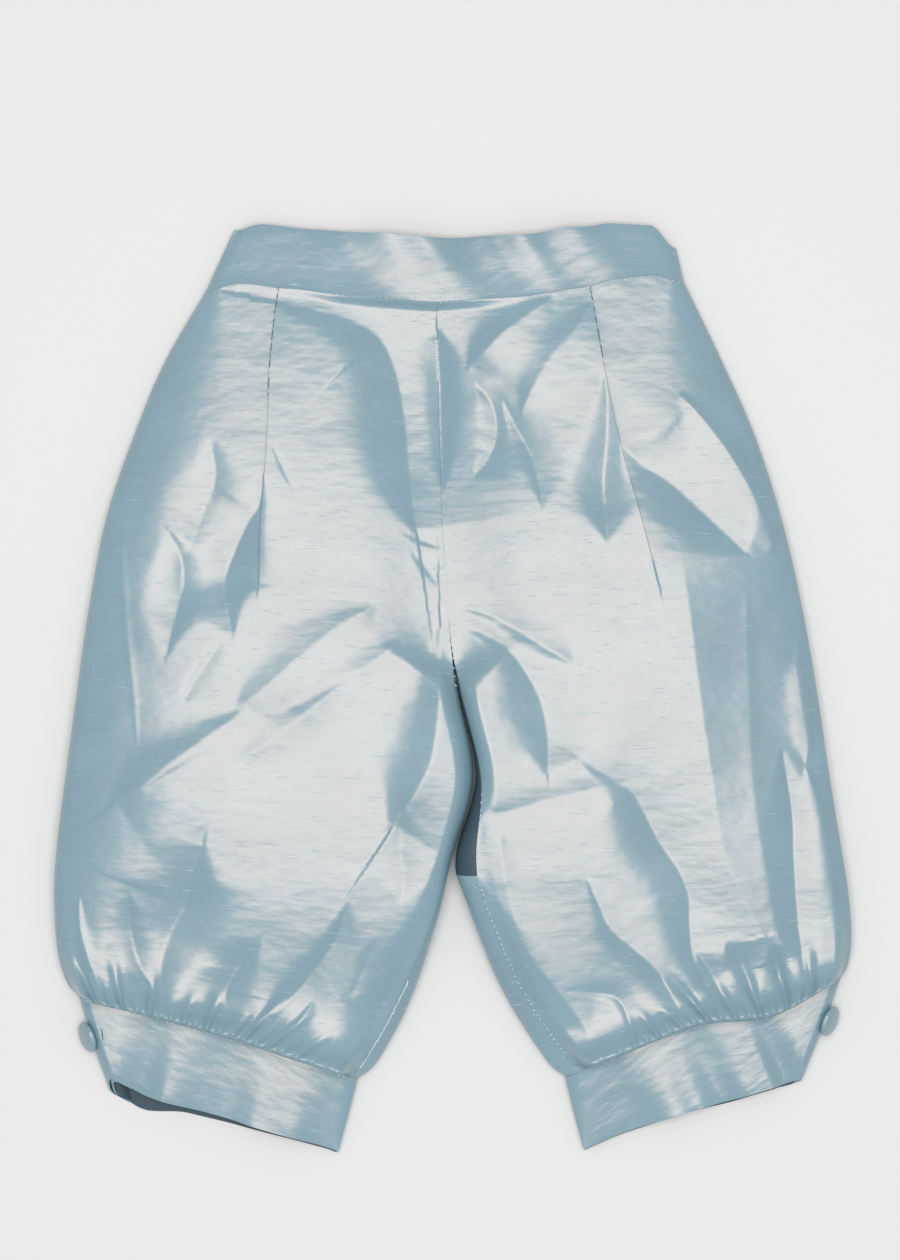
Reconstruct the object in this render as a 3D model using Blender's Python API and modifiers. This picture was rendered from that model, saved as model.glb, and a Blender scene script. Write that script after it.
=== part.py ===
"""Child's silk knee breeches, laid flat on their back, as separate cut and sewn pieces.

The waist points to +Y, the cuffs to -Y, and the front of the garment faces up, +Z.
The wearer's right leg lies on the -X side. Tables are in millimetres; MM turns them
into Blender's metres. Every piece is an open sheet lofted through cross sections of
the garment, and a Solidify modifier gives it the thickness of its cloth.
"""

import math
import random
from collections import namedtuple
from functools import lru_cache

import bmesh
import bpy
from mathutils import Vector

MM = 0.001

# Moves the tables' outline so that its middle lies on the origin
CENTRING = Vector((0.524, 0.834))

# Driving sizes, in millimetres
SEAM_GAP = 0.36
PANEL_WALL = 1.1
BAND_WALL = 1.5
FOLD_TRIM = 0.42 * BAND_WALL
UNDER_ROUND = 1.1
SMALLEST_UNDER = 4.0
LEG_GAP = 0.5
SEAM_FADE = 14.0

# The pleats: the step down at the fold, the width it takes, how far its sides reach,
# the stations over which it fades out, and how far above its end its column opens
PLEAT_STEP = 2.4
PLEAT_AT_WAIST = 0.6
PLEAT_TROUGH = 0.3
PLEAT_EDGE = 0.8
PLEAT_SPREAD = 24.0
PLEAT_END = 4.0
PLEAT_FADE = 1.8
PLEAT_OPENING = 0.5

# The overlap of each cuff at its button, and where the columns of its front start
OVERLAP_END = 12.0
UNDERLAP_END = 13.0
CUFF_FRONT_START = 16.9
LAYER_PITCH = BAND_WALL + 0.4
CUFF_SLANT = 0.77

# The covered buttons
BUTTON_DIAMETER = 17.0
BUTTON_DOME = 3.2
BUTTON_RIM = 1.5
BUTTON_EDGE = 0.9
SHANK_DIAMETER = 5.0
SHANK_HEIGHT = 1.0
BUTTON_TILT = math.radians(62)
BUTTON_STEPS = 20
DOME_STEPS = 6
BUTTON_PLACE = 0.82
NEXT_PLACE = BUTTON_PLACE + 0.1

# Columns of the sheets, with a narrow strip along each seam that lies on a curve
SIDE_COLUMNS = 9
CENTRE_COLUMNS = 13
COARSE_COLUMNS = SIDE_COLUMNS + CENTRE_COLUMNS + 1
FINE_RATIO = 3
COLUMNS_PER_GATHER = 4
COLUMN_EASE = 0.55
EDGE_STRIP = 0.5
ROUND_STEPS = 4
ROUND_MARGIN = 1.6
TABLE_START = 9.0
TABLE_MARGIN = 2.0
TABLE_STEPS = 10

# Where the body turns from hips to legs, and where it ends, counted in stations
# from the waist seam
FORK = 5
FORK_BLEND = 0.5
HEM = 11
RISE_FADE = 2.0
COARSE_ROWS = [0.55 * i for i in range(17)]
FINE_ROWS = [9.2, 9.55, 9.85, 10.1, 10.32, 10.52, 10.7, 10.86, 11.0]
BAND_ROWS = [0.0, 0.35, 0.7, 1.0]
CUFF_ROWS = [0.0, 1.0, 2.0]

# One cross section of one side of the garment. outer and inner are the ends of the
# section in plan: the side fold, and the centre seam or the leg's inner fold.
# side_seam and inseam are how far in from those folds the seams lie on the front.
# pleat is the pleat's place as a share of the section.
Station = namedtuple(
    "Station", "outer_x outer_y inner_x inner_y side_seam inseam pleat"
)
# Heights above the table, the same on both sides: crown is the top of the front,
# middle its height at the inner end, rim the height where the side fold is widest,
# inner_rim the same at the leg's inner fold, and rounding how far in the front rises.
Height = namedtuple("Height", "crown middle rim inner_rim rounding inner_rounding")
# One soft fold in the front: a line in plan, its half width, and its height, which is
# negative for a trough.
Fold = namedtuple("Fold", "start_x start_y end_x end_y half_width height")

OUTLINE = {
    "right": (
        Station(-119.3, 247.3, -9.2, 243.0, 1.2, 0.0, 0.28),
        Station(-134.5, 214.4, -9.2, 207.9, 1.2, 0.0, 0.30),
        Station(-157.1, 175.5, -8.6, 169.0, 2.5, 0.0, 0.39),
        Station(-174.4, 133.4, -7.6, 125.3, 4.0, 0.0, 0.44),
        Station(-188.5, 90.2, -5.9, 79.4, 5.5, 0.0, 0.46),
        Station(-197.6, 41.6, -2.7, 33.5, 6.5, 0.0, 0.47),
        Station(-203.6, -1.6, 2.2, -1.6, 5.5, 0.8, 0.46),
        Station(-209.0, -42.1, 10.5, -48.6, 3.0, 0.8, 0.45),
        Station(-214.4, -85.3, -0.8, -91.5, 1.5, 1.0, 0.44),
        Station(-216.0, -112.3, -8.6, -125.8, 1.2, 2.5, 0.43),
        Station(-214.4, -142.0, -23.2, -169.0, 1.2, 6.0, 0.42),
        Station(-209.6, -159.6, -41.0, -202.5, 1.2, 6.5, 0.41),
        Station(-203.0, -167.9, -51.8, -212.2, 1.2, 4.0, 0.41),
        Station(-195.0, -193.0, -57.2, -232.2, 1.2, 4.0, 0.41),
        Station(-187.5, -211.0, -62.6, -251.6, 1.2, 4.0, 0.41),
    ),
    "left": (
        Station(120.4, 237.6, -9.2, 243.0, 1.2, 0.0, 0.33),
        Station(124.7, 219.2, -9.2, 207.9, 1.2, 0.0, 0.36),
        Station(145.8, 175.5, -8.6, 169.0, 1.2, 0.0, 0.41),
        Station(163.6, 134.5, -7.6, 125.3, 1.2, 0.0, 0.43),
        Station(178.2, 87.5, -5.9, 79.4, 1.2, 0.0, 0.41),
        Station(188.5, 41.6, -2.7, 33.5, 1.2, 0.0, 0.39),
        Station(196.0, -1.6, 2.2, -1.6, 1.2, 0.8, 0.39),
        Station(202.5, -45.9, 11.5, -48.6, 1.2, 2.5, 0.39),
        Station(209.5, -89.1, 0.6, -91.5, 1.2, 11.0, 0.40),
        Station(212.8, -109.6, 5.9, -115.0, 1.2, 10.0, 0.40),
        Station(214.9, -133.9, 24.8, -162.0, 1.2, 10.0, 0.41),
        Station(213.3, -150.1, 49.1, -201.4, 1.2, 10.5, 0.41),
        Station(209.5, -157.7, 59.9, -211.1, 1.2, 10.5, 0.41),
        Station(199.5, -185.2, 64.8, -231.1, 1.2, 10.5, 0.41),
        Station(188.5, -212.2, 70.2, -250.6, 1.2, 10.5, 0.41),
    ),
}
HEIGHTS = (
    Height(8.5, 8.5, 4.5, 0.0, 8.0, 9.0),
    Height(10.0, 10.0, 5.0, 0.0, 8.0, 60.0),
    Height(15.0, 12.5, 4.5, 0.0, 45.0, 50.0),
    Height(19.0, 15.5, 6.0, 0.0, 60.0, 50.0),
    Height(22.5, 18.5, 8.5, 0.0, 68.0, 50.0),
    Height(25.0, 20.0, 10.0, 0.5, 72.0, 50.0),
    Height(27.0, 17.0, 11.5, 7.5, 75.0, 26.0),
    Height(28.5, 16.5, 12.0, 11.0, 75.0, 20.0),
    Height(30.0, 15.5, 12.5, 12.0, 75.0, 20.0),
    Height(29.0, 13.0, 12.0, 11.0, 68.0, 30.0),
    Height(26.0, 8.5, 10.0, 8.5, 52.0, 46.0),
    Height(20.0, 6.5, 8.0, 6.5, 28.0, 28.0),
    Height(11.0, 5.0, 5.5, 5.0, 6.5, 9.0),
    Height(11.0, 5.0, 5.5, 5.0, 6.5, 9.0),
    Height(11.0, 5.0, 5.5, 5.0, 6.5, 9.0),
)
PARTS = {"band": slice(0, 2), "body": slice(1, 13), "cuff": slice(12, 15)}

# How far the cloth's edges bow towards the waist, as (share of the section, rise)
BAND_TOP_RISE = {
    "right": ((0, 0), (0.14, 3.9), (0.38, 2.2), (0.65, 1.2), (1, 0)),
    "left": ((0, 0), (0.11, 11.8), (0.27, 12.0), (0.40, 9.1), (0.68, 3.2), (1, 0)),
}
WAIST_RISE = {
    "right": ((0, 0), (0.16, 4.6), (0.36, 3.0), (0.62, 0.8), (1, 0)),
    "left": ((0, 0), (0.14, 4.8), (0.27, 4.4), (0.42, 1.0), (0.66, -0.9), (1, 0)),
}
HEM_RISE = {
    "right": ((0, 0), (0.30, 1.8), (0.55, 2.0), (0.82, 0.9), (1, 0)),
    "left": ((0, 0), (0.24, -6.5), (0.56, 3.0), (0.85, 1.6), (1, 0)),
}
CUFF_EDGE_RISE = {
    "right": ((0, 0), (0.18, -4.0), (0.58, -1.4), (1, 0)),
    "left": ((0, 0), (0.25, 0.5), (0.55, 2.2), (0.80, 2.0), (1, 0)),
}
# How much further than its front the back of each cuff reaches
CUFF_BACK_DROP = {
    "right": ((0, 9.5), (0.12, 9.0), (0.35, 3.5), (1, 1.5)),
    "left": ((0, 2.0), (1, 1.0)),
}

# The largest folds of the front, by where they show, and the share of its length over
# which each fades at its ends
FOLD_TAPER = 0.5
FOLDS = (
    Fold(-102, 112, -116, 48, 9, -4.0),
    Fold(-128, 160, -150, 40, 16, 2.0),
    Fold(-70, 190, -42, 84, 15, -2.6),
    Fold(-40, 196, -16, 110, 9, 1.8),
    Fold(-34, 60, -168, -58, 11, -3.2),
    Fold(-44, 22, -176, -74, 9, 2.6),
    Fold(-124, -104, -156, -166, 11, -4.0),
    Fold(-176, -92, -180, -166, 8, 3.0),
    Fold(-62, -110, -104, -178, 9, -3.4),
    Fold(-14, -14, -34, -70, 8, -3.0),
    Fold(2, 172, 0, 122, 6, -2.6),
    Fold(24, 156, 38, 106, 7, -2.4),
    Fold(80, 134, 72, 100, 8, -3.4),
    Fold(96, 130, 150, 66, 16, -4.2),
    Fold(104, 148, 160, 76, 12, 2.6),
    Fold(18, 30, 64, -6, 7, -2.8),
    Fold(60, -8, 92, -60, 10, -2.4),
    Fold(48, -46, 128, -176, 12, -3.6),
    Fold(152, 20, 168, -150, 10, -3.6),
    Fold(186, -40, 198, -140, 10, 2.8),
    Fold(110, -40, 150, -150, 14, 2.6),
)

# The gathers above the cuffs: small ones, whose lengths and heights vary between two
# shares, and the larger folds that they run up into, which are spaced unevenly
GATHER_HEIGHT = 1.6
GATHER_START = 2.5
GATHER_REACH = 18.0
GATHER_LENGTHS = (0.5, 1.4)
GATHER_STRENGTHS = (0.6, 1.15)
PUFF_FOLDS = 5
PUFF_HEIGHT = 2.0
PUFF_REACH = 38.0
PUFF_SWAY = 0.05
PUFF_SWAY_RATE = 9.0

SILK = (0.36, 0.47, 0.53, 1.0)
SILK_ROUGHNESS = 0.34
SILK_METALLIC = 0.35

# A cross section worked out at one place
Cut = namedtuple(
    "Cut", ("side", "part", "place", "outer", "inner", "width", "leg")
    + Height._fields + ("side_seam", "inseam", "pleat")
)


def smooth(share):
    """A step from 0 to 1 with level ends."""
    share = min(max(share, 0.0), 1.0)
    return share * share * (3 - 2 * share)


def quarter(share):
    """The height of a quarter round that starts upright and ends level."""
    share = min(max(share, 0.0), 1.0)
    return math.sqrt(1 - (1 - share) ** 2)


def mix(start, end, share):
    return start + (end - start) * share


def between(values, place):
    """The smooth value at a place along numbered stations."""
    last = len(values) - 1
    first = min(int(place), last - 1)
    share = place - first
    before, after = values[max(first - 1, 0)], values[min(first + 2, last)]
    here, there = values[first], values[first + 1]
    return here + 0.5 * share * (
        there - before
        + share * (2 * before - 5 * here + 4 * there - after)
        + share * share * (3 * here - before - 3 * there + after)
    )


def along_table(table, share):
    """The eased value of a table of (share, value) at a share of the section."""
    for (start, low), (end, high) in zip(table, table[1:]):
        if share <= end:
            return mix(low, high, smooth((share - start) / (end - start)))
    return table[-1][1]


@lru_cache(maxsize=None)
def cut_at(side, part, place):
    """The cross section of one side at a place along the band, the body or the cuff."""
    stations = PARTS[part]
    line = Station(*(between(column, place) for column in zip(*OUTLINE[side][stations])))
    height = Height(*(max(between(column, place), 0.0) for column in zip(*HEIGHTS[stations])))
    outer = Vector((line.outer_x, line.outer_y))
    inner = Vector((line.inner_x, line.inner_y))
    leg = smooth((place + stations.start - 1 - FORK + FORK_BLEND) / FORK_BLEND)
    inner -= (inner - outer).normalized() * leg * LEG_GAP / 2
    return Cut(
        side, part, place, outer, inner, (inner - outer).length, leg,
        *height, line.side_seam, line.inseam, line.pleat,
    )


def rise(cut, share):
    """How far a section bows towards the waist, blended from the nearest seams' tables."""
    if cut.part == "band":
        ends = (BAND_TOP_RISE, 1 - cut.place), (WAIST_RISE, cut.place)
    elif cut.part == "body":
        ends = (
            (WAIST_RISE, 1 - smooth(cut.place / RISE_FADE)),
            (HEM_RISE, smooth((cut.place - HEM + RISE_FADE) / RISE_FADE)),
        )
    else:
        lower = cut.place / CUFF_ROWS[-1]
        ends = (HEM_RISE, 1 - lower), (CUFF_EDGE_RISE, lower)
    return sum(weight * along_table(table[cut.side], share) for table, weight in ends if weight)


def plan(cut, distance):
    """The point in plan at a distance in from the side fold."""
    share = distance / cut.width
    return cut.outer.lerp(cut.inner, share) + Vector((0, rise(cut, share))) + CENTRING


def top(cut, distance):
    """The height of the front's smooth form at a distance in from the side fold."""
    half = cut.width / 2
    reach = min(cut.rounding, half)
    if distance < reach:
        return mix(cut.rim, cut.crown, quarter(distance / reach))
    share = (cut.width - distance) / min(cut.inner_rounding, half)
    return mix(cut.middle, cut.crown, mix(smooth(share), quarter(share), cut.leg))


def side_fold(cut, start):
    """The outer face round the side fold, from a distance in on the front down to the
    table, as (distance, height)."""
    turn = math.acos(1 - start / cut.rounding)
    found = []
    for i in range(ROUND_STEPS):
        distance = cut.rounding * (1 - math.cos(turn * (1 - i / ROUND_STEPS)))
        found.append((distance, top(cut, distance)))
    under = UNDER_ROUND * cut.rim
    for i in range(ROUND_STEPS + 1):
        turn = i / ROUND_STEPS * math.pi / 2
        found.append((under * (1 - math.cos(turn)), cut.rim * (1 - math.sin(turn))))
    return found


def placed(cut, section, trim=0.0, fold_trim=0.0):
    """A row of points in space from a section of (distance, height), moved along Y to
    leave room for a seam: by trim everywhere and by fold_trim more where it stands
    upright in a fold, because a slanting fold's inner side reaches past its edge."""
    row = []
    for i, (distance, height) in enumerate(section):
        x, y = plan(cut, distance)
        y += trim + fold_trim * abs(travel(section, i).y)
        row.append(Vector((x, y, height)) * MM)
    return row


def travel(section, i):
    """The direction of a section at one of its points."""
    before = Vector(section[max(i - 1, 0)])
    after = Vector(section[min(i + 1, len(section) - 1)])
    return (after - before).normalized()


def fold_height(point):
    """The largest folds' height at a point in plan."""
    total = 0.0
    for fold in FOLDS:
        start = Vector((fold.start_x, fold.start_y))
        along = Vector((fold.end_x, fold.end_y)) - start
        share = (point - start).dot(along) / along.length_squared
        aside = (point - start - along * min(max(share, 0.0), 1.0)).length
        taper = smooth(0.5 + min(share, 1 - share) / FOLD_TAPER)
        total += fold.height * taper * math.exp(-((aside / fold.half_width) ** 2))
    return total


def pleat_height(cut, distance):
    """The pleat: the centre side lies higher, and drops at the pleat's line."""
    depth = PLEAT_STEP * mix(PLEAT_AT_WAIST, 1, smooth(cut.place)) * smooth(
        (PLEAT_END - cut.place) / PLEAT_FADE
    )
    beyond = distance - cut.pleat * cut.width
    if beyond > 0:
        return depth * math.exp(-beyond / PLEAT_SPREAD)
    return -PLEAT_TROUGH * depth * math.exp(beyond / PLEAT_SPREAD)


def gather_height(cut, column, share, reach):
    """The height of the gathers at a distance of reach above the cuff's seam. column is
    the fine row's column, or None on the coarse rows, where only the large folds reach."""
    turn = 2 * math.pi * PUFF_FOLDS * (share + PUFF_SWAY * math.sin(PUFF_SWAY_RATE * share))
    rises = reach / PUFF_REACH
    height = PUFF_HEIGHT * math.cos(turn) * rises * math.exp(1 - rises)
    if column is not None:
        draw = random.Random(f"{cut.side} gather {round(column / COLUMNS_PER_GATHER)}")
        length = GATHER_REACH * draw.uniform(*GATHER_LENGTHS)
        turn = 2 * math.pi * column / COLUMNS_PER_GATHER
        wave = draw.uniform(*GATHER_STRENGTHS) * math.cos(turn)
        height += GATHER_HEIGHT * wave * (
            (1 - math.exp(-reach / GATHER_START)) * math.exp(-reach / length)
        )
    return height


def front_distances(cut, fine):
    """How far in the columns of the front lie: from the side seam to the inner seam,
    closer together at the rounded sides, with one narrow column along the pleat."""
    start = cut.side_seam + SEAM_GAP / 2
    end = cut.width - cut.inseam - SEAM_GAP / 2
    open_width = cut.width / COARSE_COLUMNS
    ease = COLUMN_EASE * (1 - smooth((cut.place - HEM) / RISE_FADE + 2))
    opening = smooth((cut.place - PLEAT_END + PLEAT_OPENING) / PLEAT_FADE)
    pleat_width = mix(PLEAT_EDGE, open_width, opening)
    fold_start = cut.pleat * cut.width - pleat_width / 2
    found = [start]
    for i in range(SIDE_COLUMNS):
        share = i / (SIDE_COLUMNS - 1)
        eased = mix(share, 1 - math.cos(share * math.pi / 2), ease)
        found.append(mix(start + EDGE_STRIP, fold_start, eased))
    for i in range(CENTRE_COLUMNS):
        share = i / (CENTRE_COLUMNS - 1)
        eased = mix(share, math.sin(share * math.pi / 2), ease * cut.leg)
        found.append(mix(fold_start + pleat_width, end - EDGE_STRIP, eased))
    found.append(end)
    if not fine:
        return found
    return [
        mix(a, b, i / FINE_RATIO)
        for a, b in zip(found, found[1:])
        for i in range(FINE_RATIO)
    ] + [end]


def front_section(cut, fine):
    """The front panel's outer face in one section."""
    hem = cut_at(cut.side, "body", HEM)
    section = []
    for i, distance in enumerate(front_distances(cut, fine)):
        share = distance / cut.width
        point = plan(cut, distance)
        reach = (point - plan(hem, share * hem.width)).length
        from_side = smooth((distance - cut.side_seam) / SEAM_FADE)
        from_inner = smooth((cut.width - cut.inseam - distance) / SEAM_FADE)
        free = from_side * mix(1, from_inner, cut.leg)
        free *= smooth(cut.place) * smooth((HEM - cut.place) / RISE_FADE)
        height = top(cut, distance) + from_side * pleat_height(cut, distance)
        height += free * fold_height(point)
        height += from_side * from_inner * gather_height(cut, i if fine else None, share, reach)
        section.append((distance, height))
    return section


def inner_under(cut):
    """How far in from the inner end a section comes down to the table."""
    return max(UNDER_ROUND * cut.inner_rim, SMALLEST_UNDER)


def table_run(cut):
    """How far in the columns of what lies on the table are."""
    start = max(TABLE_START, UNDER_ROUND * cut.rim + TABLE_MARGIN)
    end = cut.width - inner_under(cut)
    return [mix(start, end, i / TABLE_STEPS) for i in range(TABLE_STEPS + 1)]


def back_section(cut):
    """The back panel's outer face in one section: from the side seam round the side
    fold, along the table, and on a leg round the inner fold up to the inseam."""
    seam = cut.side_seam - SEAM_GAP / 2
    found = [(seam, top(cut, seam))] + side_fold(cut, max(seam - EDGE_STRIP, 0.0))
    under = inner_under(cut)
    found += [(distance, 0.0) for distance in table_run(cut)]
    hip_end = cut.width - SEAM_GAP / 2
    lip = cut.inseam - SEAM_GAP / 2
    steps = 2 * ROUND_STEPS
    for i in range(1, steps + 1):
        hip = mix(cut.width - under, hip_end, i / steps)
        if i <= ROUND_STEPS:
            turn = i / ROUND_STEPS * math.pi / 2
            leg = cut.width - under * (1 - math.sin(turn))
            height = cut.inner_rim * (1 - math.cos(turn))
        else:
            leg = cut.width - lip * ((i - ROUND_STEPS) / ROUND_STEPS) ** 2
            height = top(cut, leg)
        found.append((mix(hip, leg, cut.leg), height * cut.leg))
    return found


def front_run(cut, start):
    """The columns of a band's level front, from a distance in at its seam with the
    body, whose columns they match, to the start of its inner round."""
    seam = cut_at(cut.side, "body", 0.0 if cut.part == "band" else HEM)
    end = seam.width - (TABLE_MARGIN if cut.part == "band" else ROUND_MARGIN * cut.inner_rounding)
    return [
        (distance * cut.width / seam.width, cut.crown)
        for distance in front_distances(seam, False)
        if start < distance < end
    ]


def band_section(cut):
    """The waistband's outer face on one side, from its seam under the fold to the
    centre front."""
    fold = side_fold(cut, cut.rounding)[::-1]
    front = front_run(cut, cut.rounding + TABLE_MARGIN)
    return [(TABLE_START - SEAM_GAP / 2, 0.0)] + fold + front + [(cut.width, cut.crown)]


def cuff_section(cut):
    """A cuff's outer face: its end lies on the underlap beneath the side fold, and the
    band goes over the front, back along the table, and up inside its own end."""
    fold = [(OVERLAP_END, 0.0)] + side_fold(cut, cut.rounding)[::-1] + [(UNDERLAP_END, cut.crown)]
    front_end = cut.width - cut.inner_rounding
    found = fold + front_run(cut, CUFF_FRONT_START)
    for i in range(ROUND_STEPS + 1):
        distance = front_end + cut.inner_rounding * math.sin(i / ROUND_STEPS * math.pi / 2)
        found.append((distance, top(cut, distance)))
    for i in range(1, ROUND_STEPS):
        turn = i / ROUND_STEPS * math.pi / 2
        found.append(
            (cut.width - inner_under(cut) * (1 - math.cos(turn)), cut.inner_rim * (1 - math.sin(turn)))
        )
    found += [(distance, 0.0) for distance in table_run(cut)[:0:-1]]
    return found + inset(fold, LAYER_PITCH)


def inset(section, depth):
    """A section moved inwards by a depth, on the right of its direction of travel, and
    further where it stands upright, because the cuffs' folds slant across it."""
    found = []
    for i, point in enumerate(section):
        along = travel(section, i)
        found.append(tuple(Vector(point) + Vector((along.y / CUFF_SLANT, -along.x)) * depth))
    return found


def sheet(name, rows, wall, flip):
    """A sheet through rows of points, thickened on its inner side. A row may hold
    FINE_RATIO times as many columns as the row before it."""
    shape = bmesh.new()
    rings = [[shape.verts.new(point) for point in row] for row in rows]
    for upper, lower in zip(rings, rings[1:]):
        ratio = (len(lower) - 1) // (len(upper) - 1)
        for i in range(len(upper) - 1):
            corners = [upper[i]] + lower[i * ratio:(i + 1) * ratio + 1] + [upper[i + 1]]
            shape.faces.new(corners[::-1] if flip else corners)
    mesh = bpy.data.meshes.new(name)
    shape.to_mesh(mesh)
    shape.free()
    mesh.shade_smooth()
    piece = add_object(name, mesh)
    cloth = piece.modifiers.new("cloth", "SOLIDIFY")
    cloth.thickness = wall * MM
    cloth.offset = -1


def add_object(name, mesh):
    """An object of the garment with its own silk."""
    silk = bpy.data.materials.new(f"{name}_silk")
    silk.use_nodes = True
    shader = silk.node_tree.nodes["Principled BSDF"]
    shader.inputs["Base Color"].default_value = SILK
    shader.inputs["Roughness"].default_value = SILK_ROUGHNESS
    shader.inputs["Metallic"].default_value = SILK_METALLIC
    mesh.materials.append(silk)
    piece = bpy.data.objects.new(name, mesh)
    garment.objects.link(piece)
    return piece


def body_rows(side, places, section_at):
    """Rows of a front or back panel, trimmed at the waist seam and at the cuff's."""
    trims = {places[0]: -SEAM_GAP / 2, places[-1]: SEAM_GAP / 2}
    rows = []
    for place in places:
        cut = cut_at(side, "body", place)
        rows.append(placed(cut, section_at(cut), trims.get(place, 0.0)))
    return rows


def add_front(side):
    """One front, with its pleat, its folds and its gathered hem."""
    rows = body_rows(
        side, COARSE_ROWS + FINE_ROWS, lambda cut: front_section(cut, cut.place in FINE_ROWS)
    )
    sheet(f"front_{side}", rows, PANEL_WALL, flip=side == "left")


def add_back(side):
    """One back, which lies on the table and turns up at the sides to meet the front."""
    rows = body_rows(side, COARSE_ROWS + FINE_ROWS[::2], back_section)
    sheet(f"back_{side}", rows, PANEL_WALL, flip=side == "right")


def add_waistband():
    """The waistband's front goes round the side folds to its seams with the back."""
    front, back = [], []
    for place in BAND_ROWS:
        seam = place == BAND_ROWS[-1]
        trims = (SEAM_GAP / 2, FOLD_TRIM) if seam else (0.0, 0.0)
        sides = []
        for side in OUTLINE:
            cut = cut_at(side, "band", place)
            under = [(distance, 0.0) for distance in table_run(cut) + [cut.width]]
            under[0] = (TABLE_START + SEAM_GAP / 2, 0.0)
            sides.append((placed(cut, band_section(cut), *trims), placed(cut, under, *trims)))
        (right_front, right_back), (left_front, left_back) = sides
        front.append(right_front + left_front[-2::-1])
        back.append(right_back + left_back[-2::-1])
    sheet("waistband_front", front, BAND_WALL, flip=False)
    sheet("waistband_back", back, BAND_WALL, flip=True)


def add_cuff(side):
    """One cuff, whose back reaches further than its front."""
    rows = []
    for place in CUFF_ROWS:
        cut = cut_at(side, "cuff", place)
        section = cuff_section(cut)
        seam = place == CUFF_ROWS[0]
        row = placed(cut, section, *((-SEAM_GAP / 2, -FOLD_TRIM) if seam else (0.0, 0.0)))
        lower = place / CUFF_ROWS[-1]
        for point, (distance, height) in zip(row, section):
            drop = along_table(CUFF_BACK_DROP[side], distance / cut.width)
            point.y -= drop * lower * (1 - smooth(height / cut.crown)) * MM
        rows.append(row)
    sheet(f"cuff_{side}", rows, BAND_WALL, flip=side == "left")


def button_profile():
    """Half of the button's outline, from the top of its dome to the foot of its shank."""
    radius = BUTTON_DIAMETER / 2
    edge = SHANK_HEIGHT + BUTTON_RIM
    dome = [
        (radius * math.sin(turn), edge + BUTTON_DOME * math.cos(turn))
        for turn in (i / DOME_STEPS * math.pi / 2 for i in range(DOME_STEPS + 1))
    ]
    back = [
        (radius, SHANK_HEIGHT + BUTTON_EDGE),
        (radius - BUTTON_EDGE, SHANK_HEIGHT),
        (SHANK_DIAMETER / 2, SHANK_HEIGHT),
        (SHANK_DIAMETER / 2, 0.0),
        (0.0, 0.0),
    ]
    return dome + back


def add_button(side):
    """One covered button, which leans out on the side fold of its cuff."""
    name = f"button_{side}"
    shape = bmesh.new()
    corners = [shape.verts.new((x * MM, 0, z * MM)) for x, z in button_profile()]
    for corner in zip(corners, corners[1:]):
        shape.edges.new(corner)
    mesh = bpy.data.meshes.new(name)
    shape.to_mesh(mesh)
    shape.free()
    button = add_object(name, mesh)
    turned = button.modifiers.new("turned", "SCREW")
    turned.steps = turned.render_steps = BUTTON_STEPS
    turned.use_merge_vertices = True
    turned.merge_threshold = 0.01 * MM
    turned.use_smooth_shade = True

    cut = cut_at(side, "cuff", BUTTON_PLACE)
    fold = cut_at(side, "cuff", NEXT_PLACE).outer - cut.outer
    away = Vector((fold.y, -fold.x)).normalized()
    if away.dot(cut.outer - cut.inner) < 0:
        away.negate()
    axis = Vector((*away * math.sin(BUTTON_TILT), math.cos(BUTTON_TILT)))
    surface = placed(cut, side_fold(cut, cut.rounding))
    seat = max(surface, key=axis.dot)
    button.location = seat + axis * SEAM_GAP * MM
    button.rotation_euler = axis.to_track_quat("Z", "Y").to_euler()


for thing in list(bpy.data.objects):
    bpy.data.objects.remove(thing)
garment = bpy.data.collections.new("knee_breeches")
bpy.context.scene.collection.children.link(garment)
add_waistband()
for leg_side in OUTLINE:
    add_front(leg_side)
    add_back(leg_side)
    add_cuff(leg_side)
    add_button(leg_side)
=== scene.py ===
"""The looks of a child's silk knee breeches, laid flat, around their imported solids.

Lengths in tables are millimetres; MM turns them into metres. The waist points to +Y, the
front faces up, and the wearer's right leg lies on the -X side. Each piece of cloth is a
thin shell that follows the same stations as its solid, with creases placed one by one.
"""

import math
import random
from collections import namedtuple

import bmesh
import bpy
import numpy as np
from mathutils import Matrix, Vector


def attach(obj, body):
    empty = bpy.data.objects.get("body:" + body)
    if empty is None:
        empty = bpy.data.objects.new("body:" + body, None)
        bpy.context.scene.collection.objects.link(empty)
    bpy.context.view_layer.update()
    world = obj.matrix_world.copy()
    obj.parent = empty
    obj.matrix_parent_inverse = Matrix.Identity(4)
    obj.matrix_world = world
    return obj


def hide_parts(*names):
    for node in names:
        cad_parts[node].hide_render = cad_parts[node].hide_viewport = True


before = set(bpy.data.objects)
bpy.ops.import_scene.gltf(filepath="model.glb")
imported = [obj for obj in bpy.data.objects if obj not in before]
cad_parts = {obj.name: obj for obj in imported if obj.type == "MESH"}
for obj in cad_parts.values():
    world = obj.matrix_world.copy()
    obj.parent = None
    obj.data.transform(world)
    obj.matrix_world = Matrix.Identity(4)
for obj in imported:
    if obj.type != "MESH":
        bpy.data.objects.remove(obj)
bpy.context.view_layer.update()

MM = 0.001
# What moves the outline's middle to the origin
CENTRING = (0.524, 0.834)

# The photograph's frame: its scale in millimetres a pixel, its size, where its middle lies
# on the garment, how high the camera stands over the garment's mean height, and how much
# shorter what looks as long as on the table is up there
PHOTO_SCALE = 0.54
PHOTO_WIDTH, PHOTO_HEIGHT = 900, 1260
PHOTO_MIDDLE = (-1.64, 31.6)
CAMERA_HEIGHT = 1800.0
MIDDLE_HEIGHT = 12.0
NEARER = 0.993
SENSOR = 36.0

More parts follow.
